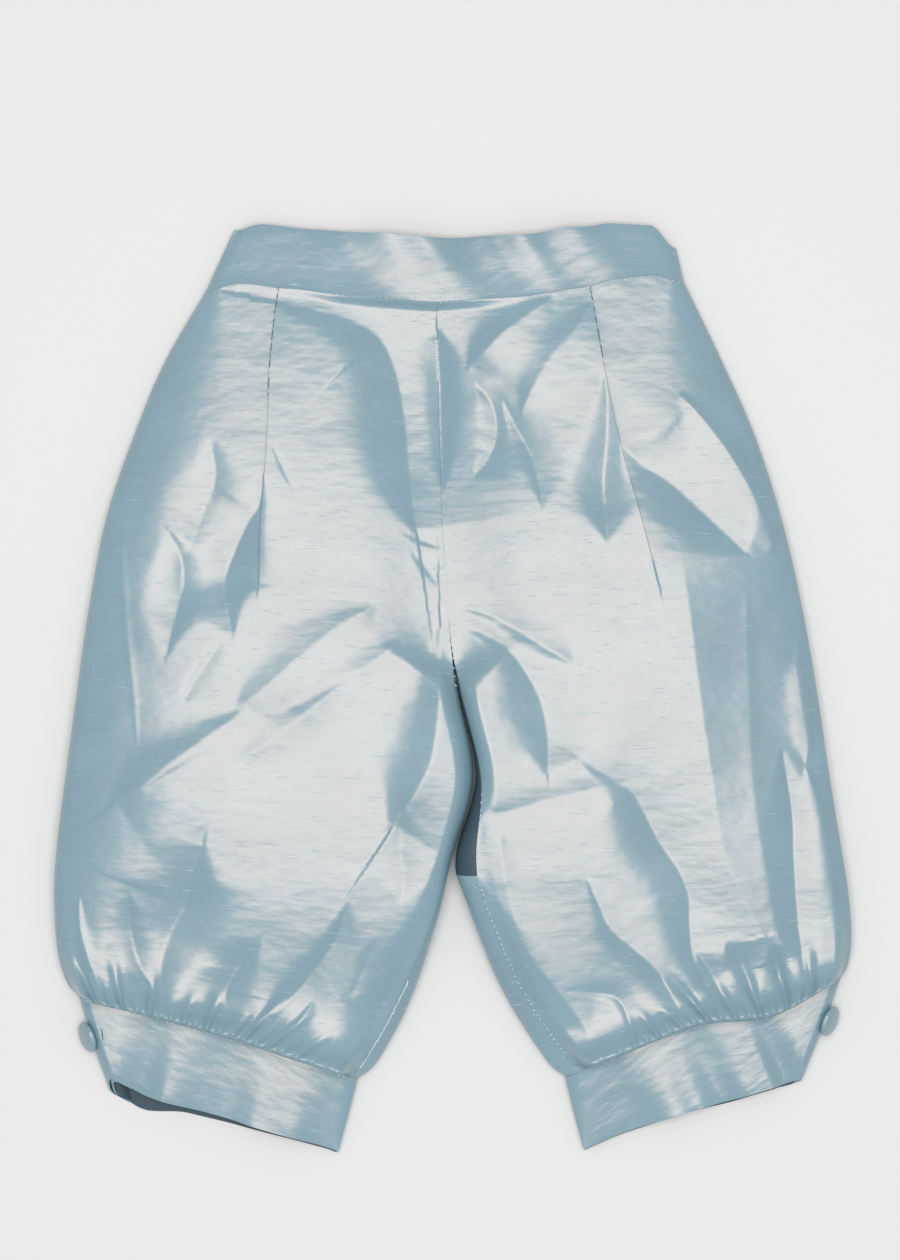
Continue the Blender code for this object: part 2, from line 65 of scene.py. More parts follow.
# The cloth: its walls, the gaps at its seams, how its folds turn under, the gap between the
# legs, and how far from a seam its forms fade
SILK_WALL = 0.5
BAND_WALL = 1.0
SEAM_GAP = 0.1
FOLD_TRIM = 0.1
UNDER_ROUND = 1.1
SMALLEST_UNDER = 4.0
LEG_GAP = 0.5
SEAM_FADE = 9.0

# The side seams: the gap where they are closed and where they show, from which station on
# they show, how far the back reaches under the front, and from which angle an edge is sharp
CLOSED_GAP = 0.02
OPEN_GAP = 0.16
SEAM_SHOWS = 4.6
TUCK = 0.5
CUT_EDGE = math.radians(65)

# Where the body turns from hips to legs, and where it ends, in stations
FORK = 5
FORK_BLEND = 0.5
HEM = 11
CUFF_END = 2
RISE_FADE = 2.0

# The pleats: how high their step is, its share at the waist, how deep the trough beside it
# is, how wide its edge is, how far it spreads, where and how gently it ends, and where and
# how gently its edge widens
PLEAT_STEP = 2.8
PLEAT_AT_WAIST = 0.5
PLEAT_TROUGH = 0.3
PLEAT_EDGE = 2.6
PLEAT_SPREAD = 24.0
PLEAT_END = 4.0
PLEAT_FADE = 1.8
PLEAT_OPENING = 0.9
PLEAT_WIDENING = 1.0

# The creases: how round their lines are, how steep they all are, how sharp the outer edges
# of their slopes are, how far beyond those edges they are followed, from which reach on a
# crease counts as wide, the steps of a curve between two points, and the smallest reach
CREASE_ROUNDING = 0.03
CREASE_STEEPNESS = 1.1
CREASE_EDGE = 4.5
CREASE_MARGIN = 2.5
WIDE_CREASE = 40.0
CREASE_STEPS = 8
SMALLEST_REACH = 0.5
# How fast the creases start below the waist and end above the cuff, for each station
CREASE_START = 5
CREASE_END = 1.6

# How far the cloth swells above the gathered seam, how soon, and over what reach it sinks
HEM_SWELL = 8.5
HEM_SWELL_RISE = 1.5
HEM_SWELL_FALL = 16.0

# The gathers: how much of their lean counts, how soon they are deep, how wide they start and
# how much wider they end, and how high the cloth stands beside them, as a share of the depth
GATHER_LEAN = 0.5
GATHER_RISE = 1.5
GATHER_START = 0.55
GATHER_WIDENING = 1.3
GATHER_RIDGE = 0.28

# Where the painted deep shadow on the left back's lip ends
LIP_SHADE = -99.0

# The right cuff's buttonhole in the photograph, and above which height a cuff's upper side is
BUTTONHOLE = ((96, 1028), (99, 1036), (102, 1044), (105, 1053))
TOP_SIDE = 5.0

# The overlap of each cuff at its button: how far in its two layers end, how far apart they
# lie, how much the cuff's end slants, and where the band's even columns start
OVERLAP_END = 12.0
UNDERLAP_END = 13.0
LAYER_PITCH = BAND_WALL + 0.9
CUFF_SLANT = 0.77
LAP_STEP = 1.0

# What lies on the table: how far in its columns start, and how far apart they are
TABLE_START = 9.0
TABLE_MARGIN = 2.0
TABLE_PITCH = 4.0

Station = namedtuple("Station", "outer_x outer_y inner_x inner_y side_seam inseam pleat")
Height = namedtuple("Height", "crown middle rim inner_rim rounding inner_rounding")

OUTLINE = {
    "right": (
        (-119.3, 247.3, -9.2, 243, 1.2, 0, 0.28),
        (-134.5, 214.4, -9.2, 207.9, 1.2, 0, 0.317),
        (-157.1, 175.5, -8.6, 169, 2.5, 0, 0.39),
        (-174.4, 133.4, -7.6, 125.3, 4, 0, 0.44),
        (-188.5, 90.2, -5.9, 79.4, 5.5, 0, 0.46),
        (-197.6, 41.6, -2.7, 33.5, 6.5, 0, 0.47),
        (-203.6, -1.6, 2.2, -1.6, 5.5, 0.8, 0.46),
        (-209, -42.1, 10.5, -48.6, 3, 0.8, 0.45),
        (-214.4, -85.3, -0.8, -91.5, 1.5, 1, 0.44),
        (-216, -112.3, -8.6, -125.8, 1.2, 2.5, 0.43),
        (-214.4, -142, -23.2, -169, 1.2, 6, 0.42),
        (-209.6, -159.6, -41, -202.5, 1.2, 6.5, 0.41),
        (-203, -167.9, -51.8, -212.2, 1.2, 4, 0.41),
        (-195, -193, -57.2, -232.2, 1.2, 4, 0.41),
        (-187.5, -211, -62.6, -251.6, 1.2, 4, 0.41),
    ),
    "left": (
        (120.4, 237.6, -9.2, 243, 1.2, 0, 0.33),
        (124.7, 219.2, -9.2, 207.9, 1.2, 0, 0.383),
        (145.8, 175.5, -8.6, 169, 1.2, 0, 0.42),
        (163.6, 134.5, -7.6, 125.3, 1.2, 0, 0.43),
        (178.2, 87.5, -5.9, 79.4, 1.2, 0, 0.41),
        (188.5, 41.6, -2.7, 33.5, 1.2, 0, 0.39),
        (196, -1.6, 2.2, -1.6, 1.2, 0.8, 0.39),
        (202.5, -45.9, 11.5, -48.6, 1.2, 2.5, 0.39),
        (209.5, -89.1, 0.6, -91.5, 1.2, 11, 0.40),
        (212.8, -109.6, 5.9, -115, 1.2, 10, 0.40),
        (214.9, -133.9, 24.8, -162, 1.2, 10, 0.41),
        (213.3, -150.1, 49.1, -201.4, 1.2, 10.5, 0.41),
        (209.5, -157.7, 59.9, -211.1, 1.2, 10.5, 0.41),
        (199.5, -185.2, 64.8, -231.1, 1.2, 10.5, 0.41),
        (188.5, -212.2, 70.2, -250.6, 1.2, 10.5, 0.41),
    ),
}
HEIGHTS = (
    (12, 12, 4.5, 0, 8, 9),
    (12, 12, 5, 0, 8, 60),
    (16, 13.5, 4.5, 0, 45, 50),
    (19.6, 16.2, 6, 0, 60, 50),
    (22.6, 18.6, 8.5, 0, 68, 50),
    (25, 20, 10, 0.5, 72, 50),
    (26.5, 17, 11.5, 7.5, 75, 12),
    (27.3, 16.5, 12, 11, 75, 9),
    (27.2, 15.5, 12.5, 12, 75, 9),
    (25.6, 13, 12, 11, 68, 18),
    (20.8, 8, 10, 8.5, 52, 40),
    (13.8, 6, 8, 6.5, 28, 26),
    *[(11, 5, 5.5, 5, 6.5, 9)] * 3,
)
# How straight the front's slope up from the side fold is, as (place in the body, share),
# how far in it ends, how steeply it starts, and how straight it is at most
SIDE_STRAIGHTNESS = {
    "right": ((0, 0), (11, 0)),
    "left": ((2.6, 0), (4.4, 1), (8.6, 0.85), (10.4, 0)),
}
STRAIGHT_REACH = 0.86
STRAIGHT_START = 4
STRAIGHT_SHARE = 0.72
PARTS = {"band": slice(0, 2), "body": slice(1, 13), "cuff": slice(12, 15)}

BAND_TOP_RISE = {
    "right": ((0, 0), (0.14, 3.9), (0.38, 2.2), (0.65, 1.2), (1, 0)),
    "left": ((0, 0), (0.11, 11.8), (0.27, 12), (0.40, 9.1), (0.68, 3.2), (1, 0)),
}
WAIST_RISE = {
    "right": ((0, 0), (0.16, 4.6), (0.36, 3), (0.62, 0.8), (1, 0)),
    "left": ((0, 0), (0.14, 4.8), (0.27, 4.4), (0.42, 1), (0.66, -0.9), (1, 0)),
}
HEM_RISE = {
    "right": ((0, 0), (0.30, 1.8), (0.55, 2), (0.82, 0.9), (1, 0)),
    "left": ((0, 0), (0.24, -6.5), (0.56, 3), (0.85, 1.6), (1, 0)),
}
CUFF_EDGE_RISE = {
    "right": ((0, 0), (0.18, -4), (0.58, -1.4), (1, 0)),
    "left": ((0, 0), (0.25, 0.5), (0.55, 2.2), (0.80, 2), (1, 0)),
}
CUFF_BACK_DROP = {
    "right": ((0, 9.5), (0.12, 9), (0.35, 3.5), (1, 1.5)),
    "left": ((0, 2), (1, 1)),
}

# A crease is a rate and a line that the cloth slopes down to from both sides. Each of the
# line's points is a place in the photograph, in its pixels, and how far the slopes reach there
# on the right and on the left of the line's direction. The shorter slope falls by the rate,
# and the longer one by as much in all; a negative rate makes a ridge. Where the longer one is
# wide, it reaches as far all along the line.
FRONT_CREASES = (
    # Wearer's right, from the waist down
    (0.23, ((286, 303, 6, 10), (322, 311, 14, 30), (352, 319, 28, 60), (380, 337, 42, 90),
     (395, 368, 52, 120), (402, 400, 54, 130), (406, 430, 50, 130), (409, 470, 38, 110),
     (412, 502, 20, 80), (416, 530, 4, 40))),
    (0.3, ((437, 330, 16, 4), (438, 350, 22, 16), (440, 380, 18, 17), (441, 430, 13, 16),
     (442, 465, 8, 8), (443, 484, 2, 2))),
    (0.25, ((402, 532, 1, 3), (420, 540, 4, 12), (436, 546, 2, 6))),
    (0.2, ((414, 556, 2, 5), (426, 568, 6, 16), (435, 582, 2, 5))),
    (0.25, ((273, 448, 1, 3), (283, 470, 3, 9), (292, 488, 1, 3))),
    (0.28, ((262, 480, 8, 3), (258, 506, 25, 9), (245, 527, 42, 21), (233, 553, 52, 32),
     (225, 575, 52, 34), (224, 592, 42, 26), (228, 612, 26, 12), (232, 632, 8, 3))),
    (0.14, ((211, 446, 8, 8), (214, 480, 30, 26), (201, 515, 34, 30), (190, 546, 10, 8))),
    (0.24, ((168, 532, 8, 2), (180, 556, 22, 14), (182, 582, 30, 26), (177, 608, 30, 22),
     (171, 634, 20, 9), (167, 654, 8, 2))),
    (-0.15, ((374, 606, 2, 4), (342, 624, 18, 34), (304, 654, 26, 48), (262, 690, 18, 34),
     (238, 706, 3, 6))),
    (-0.13, ((398, 640, 2, 4), (378, 658, 14, 26), (350, 676, 20, 34), (316, 696, 14, 26),
     (288, 708, 2, 4))),
    (0.22, ((222, 640, 1, 3), (206, 662, 6, 18), (190, 688, 6, 16), (184, 702, 1, 3))),
    (0.12, ((346, 680, 6, 8), (306, 712, 20, 26), (272, 740, 18, 22), (240, 760, 3, 4))),
    (-0.25, ((248, 706, 1, 10), (236, 716, 6, 40), (201, 742, 20, 80), (165, 767, 26, 95),
     (140, 785, 20, 95), (116, 802, 6, 80))),
    (0.2, ((226, 744, 1, 3), (190, 762, 3, 9), (156, 783, 3, 9), (146, 790, 1, 3))),
    (-0.26, ((440, 630, 4, 8), (441, 680, 22, 60), (437, 730, 36, 90), (431, 762, 40, 90),
     (416, 792, 32, 70), (395, 824, 8, 14))),
    (0.12, ((402, 812, 3, 3), (400, 842, 18, 22), (404, 880, 16, 18), (400, 902, 2, 2))),
    (0.2, ((202, 846, 24, 5), (191, 876, 50, 26), (184, 904, 66, 46), (170, 932, 70, 50),
     (162, 956, 58, 40), (161, 978, 38, 24), (164, 1003, 8, 4))),
    (0.24, ((129, 900, 8, 3), (130, 932, 20, 15), (137, 962, 24, 18), (150, 986, 14, 9),
     (160, 1004, 3, 2))),
    (0.24, ((258, 944, 10, 3), (240, 964, 30, 18), (226, 990, 42, 28), (226, 1012, 42, 28),
     (230, 1034, 20, 14))),
    (0.3, ((347, 907, 2, 4), (337, 936, 10, 26), (320, 962, 14, 38), (302, 986, 18, 44),
     (283, 1008, 14, 38), (264, 1024, 3, 8))),
    (0.16, ((374, 942, 2, 4), (364, 968, 10, 22), (352, 994, 3, 6))),
    (0.3, ((312, 1004, 1, 3), (304, 1016, 4, 12), (292, 1034, 5, 14), (278, 1046, 2, 5))),
    (0.12, ((448, 862, 8, 20), (438, 905, 20, 50), (432, 950, 40, 60), (420, 985, 44, 60),
     (402, 1020, 46, 60), (372, 1050, 46, 60), (335, 1066, 20, 30))),
    (-0.08, ((121, 480, 2, 2), (121, 560, 6, 6), (126, 630, 6, 6), (134, 700, 5, 5),
     (137, 745, 2, 2))),
    (-0.32, ((78, 900, 2, 2), (79, 930, 6, 7), (87, 960, 6, 9), (99, 985, 5, 8),
     (110, 1005, 2, 2))),
    # Wearer's left, from the waist down
    (0.28, ((478, 384, 2, 3), (492, 402, 12, 32), (497, 430, 17, 46), (490, 455, 12, 32),
     (476, 474, 2, 3))),
    (0.28, ((504, 401, 1, 2), (516, 425, 7, 20), (529, 450, 13, 32), (536, 470, 11, 30),
     (541, 495, 4, 10), (542, 506, 1, 2))),
    (-0.15, ((592, 302, 2, 2), (575, 327, 17, 36), (552, 354, 21, 46), (537, 380, 17, 36),
     (522, 408, 3, 6))),
    (-0.24, ((552, 294, 2, 2), (532, 309, 14, 36), (506, 328, 21, 48), (487, 346, 18, 40),
     (470, 363, 3, 6))),
    (0.25, ((605, 372, 1, 3), (608, 400, 10, 26), (608, 430, 20, 42), (606, 458, 28, 46),
     (604, 482, 32, 42), (605, 502, 27, 34), (606, 522, 13, 18), (607, 538, 3, 5))),
    (0.25, ((624, 446, 3, 6), (644, 464, 22, 50), (671, 482, 36, 70), (698, 506, 40, 70),
     (722, 530, 28, 50), (744, 551, 6, 10))),
    (-0.3, ((684, 396, 4, 4), (706, 420, 18, 12), (732, 454, 34, 16), (756, 496, 38, 16),
     (774, 544, 12, 8))),
    (-0.05, ((747, 600, 4, 4), (749, 680, 16, 12), (754, 790, 16, 14), (765, 860, 14, 16),
     (776, 920, 12, 14), (788, 985, 3, 4))),
    (0.24, ((783, 755, 3, 5), (793, 814, 20, 20), (795, 860, 26, 20), (798, 910, 24, 18),
     (803, 957, 12, 12), (806, 987, 2, 3))),
    (-0.32, ((800, 640, 2, 2), (806, 690, 18, 10), (811, 736, 18, 10), (808, 762, 3, 3))),
    (-0.32, ((808, 770, 3, 3), (822, 810, 24, 8), (830, 855, 26, 8), (838, 905, 24, 8),
     (846, 952, 20, 6), (846, 985, 5, 3))),
    (0.28, ((461, 606, 1, 2), (492, 616, 6, 18), (517, 630, 9, 26), (543, 646, 9, 26),
     (562, 657, 5, 13), (572, 663, 1, 2))),
    (0.21, ((466, 628, 1, 2), (488, 636, 8, 24), (510, 652, 18, 44), (528, 676, 28, 56),
     (542, 704, 34, 60), (548, 738, 28, 50), (548, 770, 6, 12))),
    (0.14, ((628, 783, 1, 1), (600, 788, 10, 20), (560, 797, 15, 26), (520, 808, 15, 26),
     (490, 816, 10, 16), (476, 821, 1, 2))),
    (0.26, ((580, 760, 1, 16), (604, 774, 10, 50), (629, 790, 22, 80), (644, 812, 32, 100),
     (660, 842, 39, 108), (678, 868, 39, 100), (689, 894, 35, 78), (690, 927, 25, 54),
     (693, 956, 15, 32), (708, 990, 3, 10))),
    (-0.12, ((500, 840, 6, 6), (506, 885, 22, 30), (518, 930, 34, 44), (536, 965, 42, 44),
     (556, 990, 40, 40), (574, 1012, 26, 26), (588, 1032, 6, 6))),
    (-0.27, ((587, 878, 1, 2), (597, 900, 8, 20), (611, 930, 14, 32), (634, 950, 16, 38),
     (658, 972, 18, 42), (671, 994, 16, 38), (685, 1018, 4, 8))),
    (0.28, ((566, 992, 1, 2), (595, 994, 4, 10), (618, 1000, 6, 14), (629, 1020, 6, 14),
     (635, 1046, 2, 4))),
    (0.25, ((726, 943, 1, 2), (742, 962, 18, 32), (751, 982, 17, 32), (752, 1003, 5, 10))),
    (0.25, ((772, 947, 1, 2), (781, 965, 18, 26), (776, 986, 16, 26), (758, 1008, 4, 8))),
    (0.16, ((700, 956, 3, 3), (716, 980, 20, 28), (724, 1004, 5, 8))),
)

# The bands lie lower at their free edges, as (place in the photograph from left to right,
# share of the tilt): where the share is small they face the light. Then each band's middle
# in the photograph's height, how far it drops at most, and how the tilts' lines lean
BAND_TILTS = {
    "band": ((200, 1), (352, 1), (414, 0.05), (440, 0.15), (486, 0.95), (508, 0.85),
             (544, 0.3), (566, 0.6), (598, 0.4), (640, 0.95), (690, 1)),
    "right": ((80, 0), (100, 0), (140, 1), (168, 0.35), (205, 0.9), (232, 0.7), (268, 0.1),
              (300, 0.2), (338, 1), (350, 1)),
    "left": ((570, 1), (616, 1), (664, 0.05), (690, 0.3), (720, 0.85), (748, 0.3),
             (772, 0.35), (790, 1), (820, 0), (840, 0)),
}
BAND_MIDDLES = {"band": 268, "right": 1080, "left": 1085}
BAND_DROP = {"band": 6.0, "right": 5.2, "left": 5.4}
BAND_LEAN = {"band": -0.55, "right": 0.25, "left": -0.45}

# A gather: a furrow that starts at a share along the cuff's seam and runs up the leg,
# towards the inner side by its lean. A row has the share, length, depth, width and lean.
Gather = namedtuple("Gather", "share length depth width lean")
GATHERS = {
    "right": (
        (0.05, 18, 2.3, 2, -0.6), (0.1, 51, 3.2, 2.7, -0.5), (0.145, 21, 2.6, 1.8, -0.1),
        (0.19, 41, 3.2, 2.3, -0.3), (0.235, 14, 2.6, 1.6, 0), (0.275, 34, 3.2, 2.2, 0.1),
        (0.31, 13, 2.3, 1.4, 0.2), (0.345, 17, 2.9, 1.6, 0.1), (0.385, 25, 2.9, 2, 0.3),
        (0.425, 13, 2.6, 1.5, 0), (0.46, 32, 3.2, 2.2, 0.2), (0.5, 15, 2.5, 1.6, 0.3),
        (0.54, 23, 2.6, 1.7, 0.7), (0.575, 46, 2.9, 2.2, 0.8), (0.615, 21, 2.6, 1.8, 0.9),
        (0.655, 34, 2.9, 1.8, 1), (0.7, 16, 2.3, 1.8, 1), (0.75, 28, 2.2, 2, 1.1),
        (0.81, 14, 1.7, 2, 0.6), (0.88, 9, 1.2, 2, 0.4),
    ),
    "left": (
        (0.05, 21, 2.3, 1.8, 0.1), (0.085, 14, 2, 1.6, -0.1), (0.13, 39, 3.2, 2.2, 0),
        (0.175, 16, 2.6, 1.6, -0.2), (0.21, 53, 3.2, 2.3, 0.2), (0.255, 18, 2.6, 1.8, 0.3),
        (0.3, 44, 3.2, 2.3, 0.3), (0.34, 16, 2.6, 1.6, 0.2), (0.385, 30, 2.9, 2, 0.4),
        (0.43, 15, 2.6, 1.6, 0.5), (0.475, 41, 3.2, 2.2, 0.6), (0.52, 14, 2.6, 1.6, 0.5),
        (0.56, 21, 2.6, 1.7, 0.7), (0.605, 13, 2.3, 1.6, 0.4), (0.65, 25, 2.9, 1.8, 0.2),
        (0.695, 16, 2.3, 1.8, -0.4), (0.74, 21, 2.3, 1.8, -0.6), (0.79, 12, 2, 1.8, -0.4),
        (0.85, 9, 1.4, 1.8, 0),
    ),
}

# Fineness of the shells: a front's columns outside the pleat, in it and inside, its rows'
# pitch, and how many of its outer faces lie over one face of its plain inner side
OUTSIDE_COLUMNS = 96
PLEAT_COLUMNS = 6
CENTRE_COLUMNS = 141
ROW_PITCH = 1.35
HEM_PITCH = 0.75
INNER_RATIO = 3
GRID_EDGES = (np.s_[0], np.s_[-1], np.s_[:, 0], np.s_[:, -1])
FOLD_STEPS = 10
BAND_PITCH = 1.0
# A back's rows down to a station and from there on, a band's and a cuff's, how far from a
# fold the next column lies, and how a front's outer columns crowd to its side
BACK_TURN = 9
BACK_ROWS = (91, 28)
BAND_ROWS = 36
CUFF_ROWS = 46
FOLD_STEP = 0.5
OUTSIDE_CROWDING = 0.35

# The silk: its surface, its colour, its wrong side's, made dark as painted shade, and the thread's
SILK_ROUGHNESS = 0.26
SILK_IOR = 1.98
SILK_TINT = (1.0, 0.73, 0.58)
SILK_COLOUR = (0.235, 0.385, 0.455)
WRONG_SIDE_SHADE_COLOUR = (0.05, 0.09, 0.12)
WRONG_SIDE_IOR = 1.35
THREAD_COLOUR = (0.70, 0.80, 0.83)
THREAD_IOR = 1.5
DULL = 0.5

# Its ribs, uneven threads, slubs, blotches and dents, as noises: how many there are for each
# metre across and along, their detail and their roughness. Then from where to where slubs
# and blotches come in, how much each lightens the ground, and how much it stands up
SILK_NOISES = (
    ((140, 2600), 3.0, 0.6),
    ((35, 420), 2.0, 0.5),
    ((75, 1300), 1.0, 0.4),
    ((16, 26), 2.0, 0.5),
    ((38, 62), 2.5, 0.55),
)
SLUB_RANGE = (0.70, 0.76)
BLOTCH_RANGE = (0.35, 0.7)
LIGHTNESS = 0.90
LIGHTNESS_WEIGHTS = (0.10, 0.10, 0.45, 0.03)
RELIEF_WEIGHTS = (0.5, 0.8, 1.2)
RELIEF_STRENGTH = 0.35
RELIEF_DEPTH = 0.0002
DENT_DEPTH = 0.0007

# A row of stitches: the seam, where it starts and ends as shares of its length, how far
# apart and how long its stitches are, how far they lie beside the seam, and how much they
# turn across it, in radians
Row = namedtuple("Row", "seam start end pitch length aside turn")
ROWS = (
    Row("hem_right", 0.02, 0.99, 2.3, 1.7, -0.5, 0.25),
    Row("hem_left", 0.02, 0.99, 2.3, 1.7, -0.5, 0.25),
    Row("hem_right", 0.08, 0.72, 3.9, 1.5, 0.5, 1.1),
    Row("hem_left", 0.1, 0.95, 4.3, 1.4, 0.5, 1.1),
    Row("waist_right", 0.55, 0.95, 3.1, 0.9, 0.45, 0.2),
    Row("waist_left", 0.02, 0.99, 3.1, 0.9, 0.45, 0.2),
    Row("centre_right", 0.3, 0.49, 4.6, 1.3, 0.3, 0.7),
    Row("centre_left", 0.05, 0.1, 0.8, 1.9, -0.4, 1.45),
    Row("centre_right", 0.86, 0.985, 1.5, 2.4, 0.2, 0),
    Row("centre_left", 0.6, 0.97, 3.4, 1.3, 0.4, 0.1),
    Row("buttonhole", 0, 1, 0.7, 1.5, 0.9, 1.57),
    Row("buttonhole", 0, 1, 0.7, 1.5, -0.9, 1.57),
    Row("buttonhole", 0.9, 1, 0.5, 1.6, 0, 1.2),
)
# A dark spindle along the buttonhole's middle, of the dark wrong side: a painted shadow of its
# slit
SLIT_SHADOW = (Row("buttonhole", 0.42, 0.6, 40, 11, 0, 0),)
STITCH_RADIUS = 0.32
STITCH_SIDES = 5
STITCH_RINGS = ((-0.5, 0.25), (-0.3, 1.0), (0.3, 1.0), (0.5, 0.25))
# How uneven the sewing is: how far a stitch strays and turns, and its shares of the length
# and pitch; how high the thread lies, and how far ahead the seam's bearing is taken
STITCH_SEED = 4
STITCH_STRAY = 0.25
STITCH_TURN = 0.3
STITCH_LENGTHS = (0.7, 1.2)
STITCH_PITCHES = (0.75, 1.3)
STITCH_LIFT = 0.15
STITCH_AHEAD = 0.5

# The studio, in metres: the floor's half width and height, the light and the surroundings
FLOOR_HALF = 12.0
FLOOR_HEIGHT = -0.0002
FLOOR_COLOUR = (0.82, 0.80, 0.785)
LIGHT_SIZE = 1.6
LIGHT_ENERGY = 37.5
LIGHT_PLACE = (0.0, 0.03, 2.4)
WORLD_COLOUR = (0.93, 0.97, 1.0)
WORLD_STRENGTH = 0.50

# Cross sections, with a row for each
Cut = namedtuple(
    "Cut", ("part", "place", "outer_x", "outer_y", "inner_x", "inner_y", "width", "leg")
    + Height._fields + ("side_seam", "inseam", "pleat")
)


def smooth(share):
    """A step from 0 to 1 with level ends."""
    share = np.clip(share, 0.0, 1.0)
    return share * share * (3 - 2 * share)


def quarter(share):
    """The height of a quarter round that starts upright and ends level."""
    return np.sqrt(1 - (1 - np.clip(share, 0.0, 1.0)) ** 2)


def mix(start, end, share):
    return start + (end - start) * share


def between(values, place):
    """The smooth value at a place along numbered stations."""
    last = len(values) - 1
    first = min(int(place), last - 1)
    share = place - first
    before, after = values[max(first - 1, 0)], values[min(first + 2, last)]
    here, there = values[first], values[first + 1]
    return here + 0.5 * share * (
        there - before
        + share * (2 * before - 5 * here + 4 * there - after)
        + share * share * (3 * here - before - 3 * there + after)
    )


def along_table(table, share):
    """The eased value of a table of (share, value) at shares of the section."""
    found = np.full(np.shape(share), float(table[-1][1]))
    for (start, low), (end, high) in reversed(list(zip(table, table[1:]))):
        eased = mix(low, high, smooth((share - start) / (end - start)))
        found = np.where(share <= end, eased, found)
    return found


def seam_trim(places, starts=True, ends=True):
    """How far each row moves along Y, to leave room for the seams at its first and last."""
    trim = np.zeros((len(places), 1))
    trim[0] = -SEAM_GAP / 2 * starts
    trim[-1] = SEAM_GAP / 2 * ends
    return trim


def cuts_at(side, part, places):
    """The cross sections at some places, as columns of numbers with a row for each."""
    stations = PARTS[part]
    rows = []
    for place in places:
        line = Station(*(between(column, place) for column in zip(*OUTLINE[side][stations])))
        height = Height(*(max(between(column, place), 0.0) for column in zip(*HEIGHTS[stations])))
        leg = float(smooth((place + stations.start - 1 - FORK + FORK_BLEND) / FORK_BLEND))
        across = Vector((line.inner_x - line.outer_x, line.inner_y - line.outer_y))
        inner = Vector((line.inner_x, line.inner_y)) - across.normalized() * leg * LEG_GAP / 2
        width = (inner - Vector((line.outer_x, line.outer_y))).length
        rows.append((
            place, line.outer_x, line.outer_y, inner.x, inner.y, width, leg,
            *height, line.side_seam, line.inseam, line.pleat,
        ))
    return Cut((side, part), *(np.array(column)[:, None] for column in zip(*rows)))


def rise(cut, share):
    """How far the sections bow towards the waist, blended from the nearest seams' tables."""
    side, part = cut.part
    if part == "band":
        ends = (BAND_TOP_RISE, 1 - cut.place), (WAIST_RISE, cut.place)
    elif part == "body":
        ends = (
            (WAIST_RISE, 1 - smooth(cut.place / RISE_FADE)),
            (HEM_RISE, smooth((cut.place - HEM + RISE_FADE) / RISE_FADE)),
        )
    else:
        ends = (HEM_RISE, 1 - cut.place / CUFF_END), (CUFF_EDGE_RISE, cut.place / CUFF_END)
    return sum(weight * along_table(table[side], share) for table, weight in ends)


def plan(cut, distance):
    """The points in plan at distances in from the side fold."""
    share = distance / cut.width
    x = mix(cut.outer_x, cut.inner_x, share) + CENTRING[0]
    y = mix(cut.outer_y, cut.inner_y, share) + rise(cut, share) + CENTRING[1]
    return x, y


def top(cut, distance):
    """The height of the front's smooth form at distances in from the side fold."""
    half = cut.width / 2
    reach = np.minimum(cut.rounding, half)
    share = (cut.width - distance) / np.minimum(cut.inner_rounding, half)
    inside = mix(cut.middle, cut.crown, mix(smooth(share), quarter(share), cut.leg))
    side, part = cut.part
    straight = along_table(SIDE_STRAIGHTNESS[side], cut.place) if part == "body" else 0.0
    ramp = np.clip(distance / reach / STRAIGHT_REACH, 0, 1)
    slope = mix(quarter(STRAIGHT_START * ramp), ramp, STRAIGHT_SHARE)
    outside = mix(quarter(distance / reach), slope, straight)
    return np.where(distance < reach, mix(cut.rim, cut.crown, outside), inside)


def side_fold(cut, start):
    """The outer face round the side fold, from a distance in on the front down to the
    table, as (distances, heights)."""
    turn = np.arccos(1 - start / cut.rounding)
    over = cut.rounding * (1 - np.cos(turn * np.linspace(1, 0, FOLD_STEPS, endpoint=False)))
    angle = np.linspace(0, np.pi / 2, FOLD_STEPS + 1)
    under = UNDER_ROUND * cut.rim * (1 - np.cos(angle))
    return np.hstack((over, under)), np.hstack((top(cut, over), cut.rim * (1 - np.sin(angle))))


def travel(distance, height):
    """The direction of each section at its points, as (along, up)."""
    along, up = np.gradient(distance, axis=1), np.gradient(height, axis=1)
    size = np.maximum(np.hypot(along, up), 1e-9)
    return along / size, up / size


def placed(cut, distance, height, trim=None, fold_trim=None):
    """Points in space from sections, moved along Y to leave room for the seams."""
    x, y = plan(cut, distance)
    if trim is not None:
        y = y + trim
    if fold_trim is not None:
        y = y + fold_trim * np.abs(travel(distance, height)[1])
    return np.stack((x, y, height), axis=2)


def from_photo(x, y):
    """The place on the garment that shows at a place in the photograph."""
    return (
        PHOTO_MIDDLE[0] + (x - PHOTO_WIDTH / 2) * PHOTO_SCALE * NEARER,
        PHOTO_MIDDLE[1] + (PHOTO_HEIGHT / 2 - y) * PHOTO_SCALE * NEARER,
    )


def line_frame(points, x, y):
    """For each place: its distance from a line of (x, y, right, left), the reach of the
    line's nearest point on the place's own side, and the shorter one of its two reaches."""
    best = np.full(x.shape, 1e9)
    own, shorter = np.ones(x.shape), np.ones(x.shape)
    for (ax, ay, *start), (bx, by, *end) in zip(points, points[1:]):
        length = math.dist((ax, ay), (bx, by))
        dx, dy = (bx - ax) / length, (by - ay) / length
        t = np.clip(((x - ax) * dx + (y - ay) * dy) / length, 0, 1)
        away = np.hypot(x - mix(ax, bx, t), y - mix(ay, by, t))
        right, left = (mix(a, b, t) for a, b in zip(start, end))
        nearer = away < best
        best = np.where(nearer, away, best)
        on_left = dx * (y - ay) - dy * (x - ax) > 0
        own = np.where(nearer, np.where(on_left, left, right), own)
        shorter = np.where(nearer, np.minimum(right, left), shorter)
    return best, own, shorter


